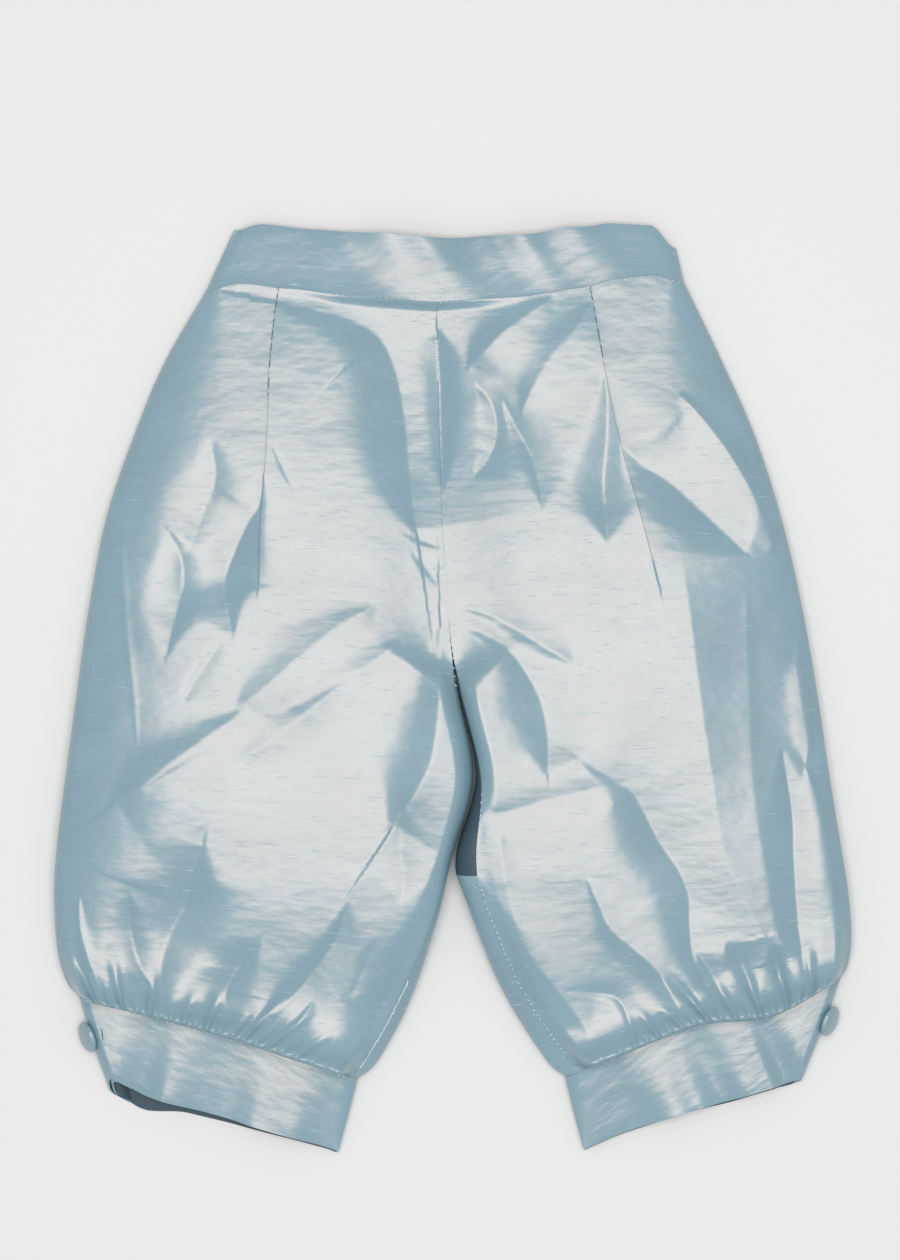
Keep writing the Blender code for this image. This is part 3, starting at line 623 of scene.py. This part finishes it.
def rounded(points, steps=CREASE_STEPS):
    """A smooth curve through a few points, as more points."""
    last = len(points) - 1
    places = np.linspace(0, last, last * steps + 1)
    return [tuple(float(between(column, p)) for column in zip(*points)) for p in places]


def crease_height(creases, x, y):
    """The height of the creases placed by hand."""
    total = np.zeros(x.shape)
    for rate, points in creases:
        line = [
            (*from_photo(px, py), *(max(reach, SMALLEST_REACH) * PHOTO_SCALE for reach in reaches))
            for px, py, *reaches in rounded(points)
        ]
        longest = [max(column) for column in zip(*line)][2:]
        if max(longest) > WIDE_CREASE:
            line = [
                (a, b, right, longest[1]) if longest[0] < longest[1] else (a, b, longest[0], left)
                for a, b, right, left in line
            ]
        margin = CREASE_MARGIN * max(longest)
        near = (x > min(p[0] for p in line) - margin) & (x < max(p[0] for p in line) + margin)
        near &= (y > min(p[1] for p in line) - margin) & (y < max(p[1] for p in line) + margin)
        away, own, shorter = line_frame(line, x[near], y[near])
        share = np.hypot(away / own, CREASE_ROUNDING)
        ramp = np.log1p(np.exp(CREASE_EDGE * (1 - share))) / CREASE_EDGE
        total[near] -= CREASE_STEEPNESS * rate * shorter * ramp
    return total


def pleat_height(cut, distance):
    """The pleat: the centre side lies higher, and drops at the pleat's line."""
    depth = PLEAT_STEP * mix(PLEAT_AT_WAIST, 1, smooth(cut.place)) * smooth(
        (PLEAT_END - cut.place) / PLEAT_FADE
    )
    beyond = distance - cut.pleat * cut.width
    return depth * np.where(
        beyond > 0,
        np.exp(-np.maximum(beyond, 0) / PLEAT_SPREAD),
        -PLEAT_TROUGH * np.exp(np.minimum(beyond, 0) / PLEAT_SPREAD),
    )


def gather_height(side, share, reach, width):
    """The furrows that run up from the cuff's seam, and the cloth that swells between."""
    total = HEM_SWELL * (1 - np.exp(-reach / HEM_SWELL_RISE)) * np.exp(-reach / HEM_SWELL_FALL)
    for gather in map(Gather._make, GATHERS[side]):
        across = (share - gather.share) * width - gather.lean * reach * GATHER_LEAN
        rises = np.clip(reach / gather.length, 0, 1)
        depth = gather.depth * (1 - smooth(rises)) * (1 - np.exp(-reach / GATHER_RISE))
        spread = gather.width * (GATHER_START + GATHER_WIDENING * rises)
        total += depth * (GATHER_RIDGE - np.exp(-((across / spread) ** 2)))
    return total


def band_drop(name, x, y, lower):
    """How far a band lies below its seam's height, towards its free edge."""
    middle = from_photo(0, BAND_MIDDLES[name])[1]
    column = (x - BAND_LEAN[name] * (y - middle) - PHOTO_MIDDLE[0]) / PHOTO_SCALE / NEARER
    return BAND_DROP[name] * along_table(BAND_TILTS[name], column + PHOTO_WIDTH / 2) * lower


def side_gap(cut):
    """How wide the side seam's line is: it shows only where the leg turns over it."""
    shows = smooth(cut.place - SEAM_SHOWS) if cut.part[0] == "right" else 0.0
    return mix(CLOSED_GAP, OPEN_GAP, shows)


def front_distances(cut):
    """How far in a front's columns lie, with a narrow strip of them along its pleat."""
    start = cut.side_seam + side_gap(cut) / 2
    end = cut.width - cut.inseam - SEAM_GAP / 2
    open_width = cut.width / (OUTSIDE_COLUMNS + CENTRE_COLUMNS) * PLEAT_COLUMNS
    opening = smooth((cut.place - PLEAT_END + PLEAT_OPENING) / PLEAT_WIDENING)
    pleat_width = mix(PLEAT_EDGE, open_width, opening)
    fold_start = cut.pleat * cut.width - pleat_width / 2
    outside = np.linspace(0, 1, OUTSIDE_COLUMNS, endpoint=False)
    outside = mix(outside, 1 - np.cos(outside * np.pi / 2), OUTSIDE_CROWDING)
    pleat = np.linspace(0, 1, PLEAT_COLUMNS, endpoint=False)
    centre = np.linspace(0, 1, CENTRE_COLUMNS + 1)
    return np.hstack((
        mix(start, fold_start, outside),
        mix(fold_start, fold_start + pleat_width, pleat),
        mix(fold_start + pleat_width, end, centre),
    ))


def body_places():
    """Places down the body, closer together near the cuff."""
    found = [0.0]
    right = [Station(*row) for row in OUTLINE["right"][PARTS["body"]]]
    for i, (upper, lower) in enumerate(zip(right, right[1:])):
        length = max(upper.outer_y - lower.outer_y, upper.inner_y - lower.inner_y)
        pitch = HEM_PITCH if i >= HEM - 2 else ROW_PITCH
        steps = math.ceil(length / pitch)
        found += [i + (j + 1) / steps for j in range(steps)]
    spare = (len(found) - 1) % INNER_RATIO
    if spare:
        found = list(np.interp(
            np.linspace(0, 1, len(found) + INNER_RATIO - spare),
            np.linspace(0, 1, len(found)), found,
        ))
    return found


def add_object(name, data):
    """A new object in the scene."""
    thing = bpy.data.objects.new(name, data)
    bpy.context.scene.collection.objects.link(thing)
    return thing


def cloth_mesh(name, vertices, faces, flat):
    """A mesh in metres with the cloth's own coordinates as its UV map."""
    mesh = bpy.data.meshes.new(name)
    mesh.from_pydata((np.asarray(vertices) * MM).tolist(), [], faces)
    threads = mesh.uv_layers.new(name="threads")
    corners = np.zeros(len(mesh.loops), int)
    mesh.loops.foreach_get("vertex_index", corners)
    threads.data.foreach_set("uv", (flat[corners] * MM).astype(np.float32).ravel())
    return mesh


def make_piece(name, vertices, faces, flat, material):
    """An object of a closed mesh with smooth shading and sharp cut edges."""
    mesh = cloth_mesh(name, vertices, faces, flat)
    shape = bmesh.new()
    shape.from_mesh(mesh)
    bmesh.ops.recalc_face_normals(shape, faces=shape.faces)
    shape.to_mesh(mesh)
    shape.free()
    mesh.shade_smooth()
    mesh.set_sharp_from_angle(angle=CUT_EDGE)
    mesh.materials.append(material)
    return add_object(name, mesh)


def grid_faces(rows, columns, first=0):
    return [
        (first + r * columns + c, first + r * columns + c + 1,
         first + (r + 1) * columns + c + 1, first + (r + 1) * columns + c)
        for r in range(rows - 1) for c in range(columns - 1)
    ]


def threads_of(points):
    """Each point's place along the threads: along its row, and down the columns."""
    across = np.linalg.norm(np.diff(points, axis=1), axis=2)
    down = np.linalg.norm(np.diff(points, axis=0), axis=2).mean(axis=1)
    u = np.hstack((np.zeros((len(points), 1)), np.cumsum(across, axis=1)))
    v = np.concatenate(([0.0], np.cumsum(down)))[:, None] * np.ones((1, points.shape[1]))
    return np.stack((u, -v), axis=2)


def lined_shell(name, points, wall, material):
    """A shell whose outer side is a fine grid and whose inner side is a plainer one that
    stays under it, closed along its edges."""
    rows, columns = points.shape[:2]
    lowest = points[:, :, 2].copy()
    for axis in (0, 1):
        margins = [(INNER_RATIO, INNER_RATIO) if a == axis else (0, 0) for a in (0, 1)]
        padded = np.pad(lowest, margins, mode="edge")
        lowest = np.min([np.roll(padded, -k, axis) for k in range(2 * INNER_RATIO + 1)], axis=0)
        lowest = lowest[:rows, :] if axis == 0 else lowest[:, :columns]
    inner = points[::INNER_RATIO, ::INNER_RATIO].copy()
    inner[:, :, 2] = lowest[::INNER_RATIO, ::INNER_RATIO] - wall
    for edge in GRID_EDGES:
        inner[edge][..., 2] = points[::INNER_RATIO, ::INNER_RATIO][edge][..., 2] - wall
    inner_rows, inner_columns = inner.shape[:2]
    first = rows * columns
    faces = grid_faces(rows, columns) + grid_faces(inner_rows, inner_columns, first)
    outer_at = np.arange(first).reshape(rows, columns)
    inner_at = first + np.arange(inner_rows * inner_columns).reshape(inner_rows, inner_columns)
    for edge in GRID_EDGES:
        outside, inside = outer_at[edge], inner_at[edge]
        for i in range(len(inside) - 1):
            strip = outside[i * INNER_RATIO:(i + 1) * INNER_RATIO + 1]
            faces.append([int(v) for v in strip] + [int(inside[i + 1]), int(inside[i])])
    flat = threads_of(points)
    vertices = np.vstack((points.reshape(-1, 3), inner.reshape(-1, 3)))
    flats = np.vstack((flat.reshape(-1, 2), flat[::INNER_RATIO, ::INNER_RATIO].reshape(-1, 2)))
    return make_piece(name, vertices, faces, flats, material)


def turned_shell(name, points, wall, materials, flip, shaded=None):
    """A shell of even thickness, which Solidify gives it on its inner side. The first
    material shows outside. The second, made dark as painted shade, is for the inner side, and
    outside where the faces are shaded, where it is a painted shadow."""
    faces = grid_faces(*points.shape[:2])
    if flip:
        faces = [face[::-1] for face in faces]
    mesh = cloth_mesh(name, points.reshape(-1, 3), faces, threads_of(points).reshape(-1, 2))
    mesh.shade_smooth()
    outside, inside = materials
    for material in (outside, inside, inside):
        mesh.materials.append(material)
    shape = bmesh.new()
    shape.from_mesh(mesh)
    for edge in shape.edges:
        edge.smooth = not edge.is_boundary
    shape.to_mesh(mesh)
    shape.free()
    shaded = np.zeros(len(faces), bool) if shaded is None else shaded.ravel()
    mesh.polygons.foreach_set("material_index", shaded.astype(np.int32))
    piece = add_object(name, mesh)
    cloth = piece.modifiers.new("cloth", "SOLIDIFY")
    cloth.thickness = wall * MM
    cloth.offset = -1
    cloth.material_offset = 1
    return piece


def front_points(side):
    """The outer side of a front."""
    places = body_places()
    cut = cuts_at(side, "body", places)
    hem = cuts_at(side, "body", [HEM])
    distance = front_distances(cut)
    share = distance / cut.width
    x, y = plan(cut, distance)
    hem_x, hem_y = plan(hem, share * hem.width)
    reach = np.hypot(x - hem_x, y - hem_y)
    from_side = smooth((distance - cut.side_seam) / SEAM_FADE)
    from_inner = smooth((cut.width - cut.inseam - distance) / SEAM_FADE)
    height = top(cut, distance) + from_side * pleat_height(cut, distance)
    free = from_side * mix(1, from_inner, cut.leg)
    free = free * smooth(cut.place * CREASE_START) * smooth((HEM - cut.place) * CREASE_END)
    height = height + free * crease_height(FRONT_CREASES, x, y)
    height = height + from_side * from_inner * gather_height(side, share, reach, hem.width)
    return np.stack((x, y + seam_trim(places), height), axis=2)


def inner_under(cut):
    """How far in from the inner end a section comes down to the table."""
    return np.maximum(UNDER_ROUND * cut.inner_rim, SMALLEST_UNDER)


def even_columns(start, end, pitch):
    """Evenly spaced columns from start to end, at about a pitch."""
    steps = math.ceil(float((end - start).max()) / pitch)
    return mix(start, end, np.linspace(0, 1, steps + 1))


def table_run(cut):
    """How far in the columns of what lies on the table are."""
    start = np.maximum(TABLE_START, UNDER_ROUND * cut.rim + TABLE_MARGIN)
    return even_columns(start, cut.width - inner_under(cut), TABLE_PITCH)


def back_points(side):
    """The outer side of a back, from the side seam round the side fold, along the table,
    and on a leg round the inner fold up to the inseam."""
    upper, lower = BACK_ROWS
    places = np.concatenate((
        np.linspace(0, BACK_TURN, upper), np.linspace(BACK_TURN, HEM, lower)[1:]
    ))
    cut = cuts_at(side, "body", places)
    seam = cut.side_seam - side_gap(cut) / 2
    edge = np.maximum(seam - FOLD_STEP, 0.0)
    fold, fold_height = side_fold(cut, edge)
    table = table_run(cut)
    under_edge = seam + CLOSED_GAP
    distance = [seam + TUCK, under_edge, seam, fold, table]
    tucked = top(cut, seam) - 2 * SILK_WALL
    height = [tucked, top(cut, under_edge), top(cut, seam), fold_height, 0 * table]
    under = inner_under(cut)
    hip_end = cut.width - SEAM_GAP / 2
    lip = np.maximum(cut.inseam - SEAM_GAP / 2, 0.0)
    steps = 2 * FOLD_STEPS
    for i in range(1, steps + 1):
        hip = mix(cut.width - under, hip_end, i / steps)
        if i <= FOLD_STEPS:
            turn = i / FOLD_STEPS * np.pi / 2
            leg = cut.width - under * (1 - np.sin(turn))
            up = cut.inner_rim * (1 - np.cos(turn))
        else:
            leg = cut.width - lip * ((i - FOLD_STEPS) / FOLD_STEPS) ** 2
            up = top(cut, leg)
        distance.append(mix(hip, leg, cut.leg))
        height.append(up * cut.leg)
    return placed(cut, np.hstack(distance), np.hstack(height), seam_trim(places))


def in_shadow(points):
    """The faces of the left back's lip that lie deep between the legs, which get the dark wrong
    side as a painted shadow.
    """
    shaded = points[:-1, :-1, 1] > LIP_SHADE
    shaded[:, :-2 * FOLD_STEPS] = False
    return shaded


def waistband_points():
    """The outer side of the waistband's front and of its back."""
    places = np.linspace(0, 1, BAND_ROWS)
    trim = seam_trim(places, starts=False)
    fronts, backs = [], []
    for side in OUTLINE:
        cut = cuts_at(side, "band", places)
        fold, fold_height = side_fold(cut, cut.rounding)
        level = even_columns(cut.rounding + FOLD_STEP, cut.width, BAND_PITCH)
        flat = np.full((len(places), 1), TABLE_START - SEAM_GAP / 2)
        distance = np.hstack((flat, fold[:, ::-1], level))
        height = np.hstack((0 * flat, fold_height[:, ::-1], 0 * level + cut.crown))
        front = placed(cut, distance, height, trim, FOLD_TRIM * (trim > 0))
        upper = smooth((height - cut.rim) / (cut.crown - cut.rim)) * (1 - cut.place)
        front[:, :, 2] -= band_drop("band", front[:, :, 0], front[:, :, 1], upper)
        fronts.append(front)
        table = table_run(cut)
        table = np.hstack((flat + SEAM_GAP, table[:, 1:], cut.width))
        backs.append(placed(cut, table, 0 * table, trim))
    return [np.hstack((right, left[:, -2::-1])) for right, left in (fronts, backs)]


def cuff_points(side):
    """The outer side of a cuff: its end lies on the underlap beneath the side fold, and
    the band goes over the front, back along the table, and up inside its own end."""
    places = np.linspace(0, CUFF_END, CUFF_ROWS)
    cut = cuts_at(side, "cuff", places)
    fold, fold_height = side_fold(cut, cut.rounding)
    ones = np.ones((len(places), 1))
    lap = np.hstack((OVERLAP_END * ones, fold[:, ::-1], UNDERLAP_END * ones))
    lap_height = np.hstack((0 * ones, fold_height[:, ::-1], cut.crown))
    end = cut.width - cut.inner_rounding
    level = even_columns(UNDERLAP_END + LAP_STEP, end, BAND_PITCH)[:, :-1]
    angle = np.linspace(0, np.pi / 2, FOLD_STEPS + 1)
    over = end + cut.inner_rounding * np.sin(angle)
    under = cut.width - inner_under(cut) * (1 - np.cos(angle[1:]))
    table = table_run(cut)[:, -2:0:-1]
    distance = np.hstack((lap, level, over, under, table))
    height = np.hstack((
        lap_height, 0 * level + cut.crown, top(cut, over),
        cut.inner_rim * (1 - np.sin(angle[1:])), 0 * table,
    ))
    along, up = travel(lap, lap_height)
    distance = np.hstack((distance, lap + up / CUFF_SLANT * LAYER_PITCH))
    height = np.hstack((height, lap_height - along * LAYER_PITCH))
    trim = seam_trim(places, ends=False)
    points = placed(cut, distance, height, trim, FOLD_TRIM * np.sign(trim))
    drop = along_table(CUFF_BACK_DROP[side], distance / cut.width)
    points[:, :, 1] -= drop * cut.place / CUFF_END * (1 - smooth(height / cut.crown))
    outer = slice(lap.shape[1], lap.shape[1] + level.shape[1] + over.shape[1])
    lower = np.zeros(height.shape)
    raised = np.clip((height - cut.rim) / (cut.crown - cut.rim), 0, 1)
    raised[:, -lap.shape[1]:] = raised[:, :lap.shape[1]]
    for run in (outer, slice(0, lap.shape[1]), slice(-lap.shape[1], None)):
        lower[:, run] = (raised * cut.place / CUFF_END)[:, run]
    points[:, :, 2] -= band_drop(side, points[:, :, 0], points[:, :, 1], lower)
    return points


def on_surface(points, line):
    """A line of places in the photograph, as points on the upper side of a piece."""
    upper = points[points[:, :, 2] > TOP_SIDE]
    places = [from_photo(x, y) for x, y in line]
    nearest = [np.argmin(np.hypot(*(upper[:, :2] - place).T)) for place in places]
    return np.array([(x, y, upper[i, 2]) for (x, y), i in zip(places, nearest)])


# Materials

def set_values(node, values):
    for socket, value in values.items():
        node.inputs[socket].default_value = value


def shader_of(name, colour, roughness, ior, tint):
    """A Principled material with its fixed values set on its own sockets."""
    material = bpy.data.materials.new(name)
    material.use_nodes = True
    shader = material.node_tree.nodes["Principled BSDF"]
    set_values(shader, {
        "Base Color": (*colour, 1), "Roughness": roughness, "IOR": ior,
        "Specular Tint": (*tint, 1),
    })
    return material, material.node_tree, shader


def silk(name, colour, roughness, ior, mapped=True):
    """Slubbed silk: fine crosswise ribs, with thicker threads here and there that are
    lighter than the ground, and soft dents. What isn't mapped has its threads along X."""
    material, tree, shader = shader_of(name, colour, roughness, ior, SILK_TINT)
    nodes, links = tree.nodes, tree.links
    if mapped:
        place = nodes.new("ShaderNodeUVMap")
        place.uv_map = "threads"
        threads = place.outputs["UV"]
    else:
        threads = nodes.new("ShaderNodeTexCoord").outputs["Object"]

    def added(kind, values, source, socket):
        node = nodes.new("ShaderNode" + kind)
        set_values(node, values)
        links.new(source, node.inputs[socket])
        return node

    def noise(scales, detail, rough):
        mapping = added("Mapping", {"Scale": (*scales, scales[1])}, threads, "Vector")
        values = {"Scale": 1.0, "Detail": detail, "Roughness": rough}
        return added("TexNoise", values, mapping.outputs["Vector"], "Vector").outputs["Fac"]

    def ranged(value, low, high, start=0.0, end=1.0):
        values = {"From Min": low, "From Max": high, "To Min": start, "To Max": end}
        node = added("MapRange", values, value, "Value")
        node.interpolation_type = "SMOOTHSTEP"
        return node.outputs["Result"]

    def bumped(height, strength, distance):
        return added("Bump", {"Strength": strength, "Distance": distance}, height, "Height")

    def combined(operation, a, b):
        node = nodes.new("ShaderNodeMath")
        node.operation = operation
        for socket, value in zip(node.inputs, (a, b)):
            if isinstance(value, (int, float)):
                socket.default_value = value
            else:
                links.new(value, socket)
        return node.outputs["Value"]

    def weighted(*terms):
        total = None
        for value, weight in terms:
            term = combined("MULTIPLY", value, weight)
            total = term if total is None else combined("ADD", total, term)
        return total

    ribs, uneven, thick, broad, soft = (noise(*values) for values in SILK_NOISES)
    slubs = ranged(thick, *SLUB_RANGE)
    blotches = ranged(broad, *BLOTCH_RANGE, -1.0, 1.0)
    parts = (ribs, uneven, slubs, blotches)
    lightness = combined("ADD", weighted(*zip(parts, LIGHTNESS_WEIGHTS)), LIGHTNESS)
    tone = nodes.new("ShaderNodeMix")
    tone.data_type = "RGBA"
    tone.blend_type = "MULTIPLY"
    tone.inputs["Factor"].default_value = 1.0
    tone.inputs["A"].default_value = (*colour, 1)
    grey = nodes.new("ShaderNodeCombineColor")
    for socket in grey.inputs:
        links.new(lightness, socket)
    links.new(grey.outputs["Color"], tone.inputs["B"])
    links.new(tone.outputs["Result"], shader.inputs["Base Color"])
    bump = bumped(weighted(*zip(parts, RELIEF_WEIGHTS)), RELIEF_STRENGTH, RELIEF_DEPTH)
    dents = bumped(soft, 1.0, DENT_DEPTH)
    links.new(dents.outputs["Normal"], bump.inputs["Normal"])
    links.new(bump.outputs["Normal"], shader.inputs["Normal"])
    return material


body_silk = silk("body_silk", SILK_COLOUR, SILK_ROUGHNESS, SILK_IOR)
band_silk = silk("band_silk", SILK_COLOUR, SILK_ROUGHNESS, SILK_IOR)
# The wrong side is made dark as painted shade: it stands for the shadow inside the backs, cuffs
# and band, on the left back's lip and in the buttonhole's slit
wrong_side = silk("wrong_side", WRONG_SIDE_SHADE_COLOUR, DULL, WRONG_SIDE_IOR)
button_silk = silk("button_silk", SILK_COLOUR, SILK_ROUGHNESS, SILK_IOR, mapped=False)
sewing_thread = silk("sewing_thread", THREAD_COLOUR, DULL, THREAD_IOR, mapped=False)

made, seams = {}, {}
for side in OUTLINE:
    front, back, cuff = front_points(side), back_points(side), cuff_points(side)
    made[f"front_{side}"] = lined_shell(f"silk_front_{side}", front, SILK_WALL, body_silk)
    made[f"back_{side}"] = turned_shell(
        f"silk_back_{side}", back, SILK_WALL, (body_silk, wrong_side), side == "left",
        in_shadow(back) if side == "left" else None,
    )
    made[f"cuff_{side}"] = turned_shell(
        f"silk_cuff_{side}", cuff, BAND_WALL, (band_silk, wrong_side), side == "right"
    )
    seams[f"waist_{side}"], seams[f"hem_{side}"] = front[0], front[-1]
    seams[f"centre_{side}"] = front[:, -1]
    if side == "right":
        seams["buttonhole"] = on_surface(cuff[:, :cuff.shape[1] // 2], BUTTONHOLE)
waistbands = ("waistband_front", "waistband_back")
for node, points, flip in zip(waistbands, waistband_points(), (True, False)):
    made[node] = turned_shell(f"silk_{node}", points, BAND_WALL, (band_silk, wrong_side), flip)


# Sewing: rows of small stitches on the seams

def stitches(rows):
    """One mesh of thread: a spindle for each stitch, uneven as sewing is."""
    chance = random.Random(STITCH_SEED)
    vertices, faces = [], []
    for row in rows:
        line = seams[row.seam]
        along = np.concatenate(([0.0], np.cumsum(np.linalg.norm(np.diff(line, axis=0), axis=1))))
        place = row.start * along[-1]
        while place < row.end * along[-1]:
            x, y, z = (np.interp(place, along, line[:, axis]) for axis in range(3))
            ahead = [np.interp(place + STITCH_AHEAD, along, line[:, axis]) for axis in range(2)]
            bearing = math.atan2(ahead[1] - y, ahead[0] - x)
            aside = row.aside + chance.uniform(-STITCH_STRAY, STITCH_STRAY)
            x, y = x - math.sin(bearing) * aside, y + math.cos(bearing) * aside
            turn = bearing + row.turn + chance.uniform(-STITCH_TURN, STITCH_TURN)
            length = row.length * chance.uniform(*STITCH_LENGTHS)
            first = len(vertices)
            for shift, size in STITCH_RINGS:
                for i in range(STITCH_SIDES):
                    angle = math.tau * i / STITCH_SIDES
                    wide = math.cos(angle) * size * STITCH_RADIUS
                    vertices.append((
                        x + math.cos(turn) * shift * length - math.sin(turn) * wide,
                        y + math.sin(turn) * shift * length + math.cos(turn) * wide,
                        z + STITCH_LIFT + math.sin(angle) * size * STITCH_RADIUS,
                    ))
            rings = np.arange(first, len(vertices)).reshape(-1, STITCH_SIDES).tolist()
            for low, high in zip(rings, rings[1:]):
                for i in range(STITCH_SIDES):
                    j = (i + 1) % STITCH_SIDES
                    faces.append((low[i], low[j], high[j], high[i]))
            faces += [rings[0], rings[-1]]
            place += row.pitch * chance.uniform(*STITCH_PITCHES)
    return vertices, faces


# The sewing thread, and the painted shadow in the buttonhole's slit
for name, rows, material in (
    ("sewing", ROWS, sewing_thread), ("buttonhole_slit", SLIT_SHADOW, wrong_side),
):
    vertices, faces = stitches(rows)
    piece = make_piece(name, vertices, faces, np.zeros((len(vertices), 2)), material)
    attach(piece, "root")

for node, piece in made.items():
    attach(piece, "root")
    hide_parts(node)
for side in OUTLINE:
    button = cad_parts[f"button_{side}"]
    button.data.materials.clear()
    button.data.materials.append(button_silk)


# Floor, light and camera

paper = bpy.data.meshes.new("floor")
square = ((-1, -1), (1, -1), (1, 1), (-1, 1))
corners = [(x * FLOOR_HALF, y * FLOOR_HALF, FLOOR_HEIGHT) for x, y in square]
paper.from_pydata(corners, [], [(0, 1, 2, 3)])
floor = add_object("floor", paper)
floor.data.materials.append(shader_of("floor_paper", FLOOR_COLOUR, 0.9, 1.3, (1, 1, 1))[0])

softbox = add_object("softbox", bpy.data.lights.new("softbox", "AREA"))
softbox.data.shape = "SQUARE"
softbox.data.size = LIGHT_SIZE
softbox.data.energy = LIGHT_ENERGY
softbox.location = LIGHT_PLACE

world = bpy.data.worlds.new("studio")
world.use_nodes = True
world.node_tree.nodes["Background"].inputs["Color"].default_value = (*WORLD_COLOUR, 1)
world.node_tree.nodes["Background"].inputs["Strength"].default_value = WORLD_STRENGTH
bpy.context.scene.world = world

camera = add_object("camera", bpy.data.cameras.new("camera"))
camera.data.sensor_width = SENSOR
camera.data.lens = SENSOR * CAMERA_HEIGHT / (PHOTO_SCALE * PHOTO_HEIGHT)
camera.location = (
    PHOTO_MIDDLE[0] * MM, PHOTO_MIDDLE[1] * MM, (CAMERA_HEIGHT + MIDDLE_HEIGHT) * MM
)
bpy.context.scene.camera = camera
bpy.context.scene.view_settings.view_transform = "Standard"
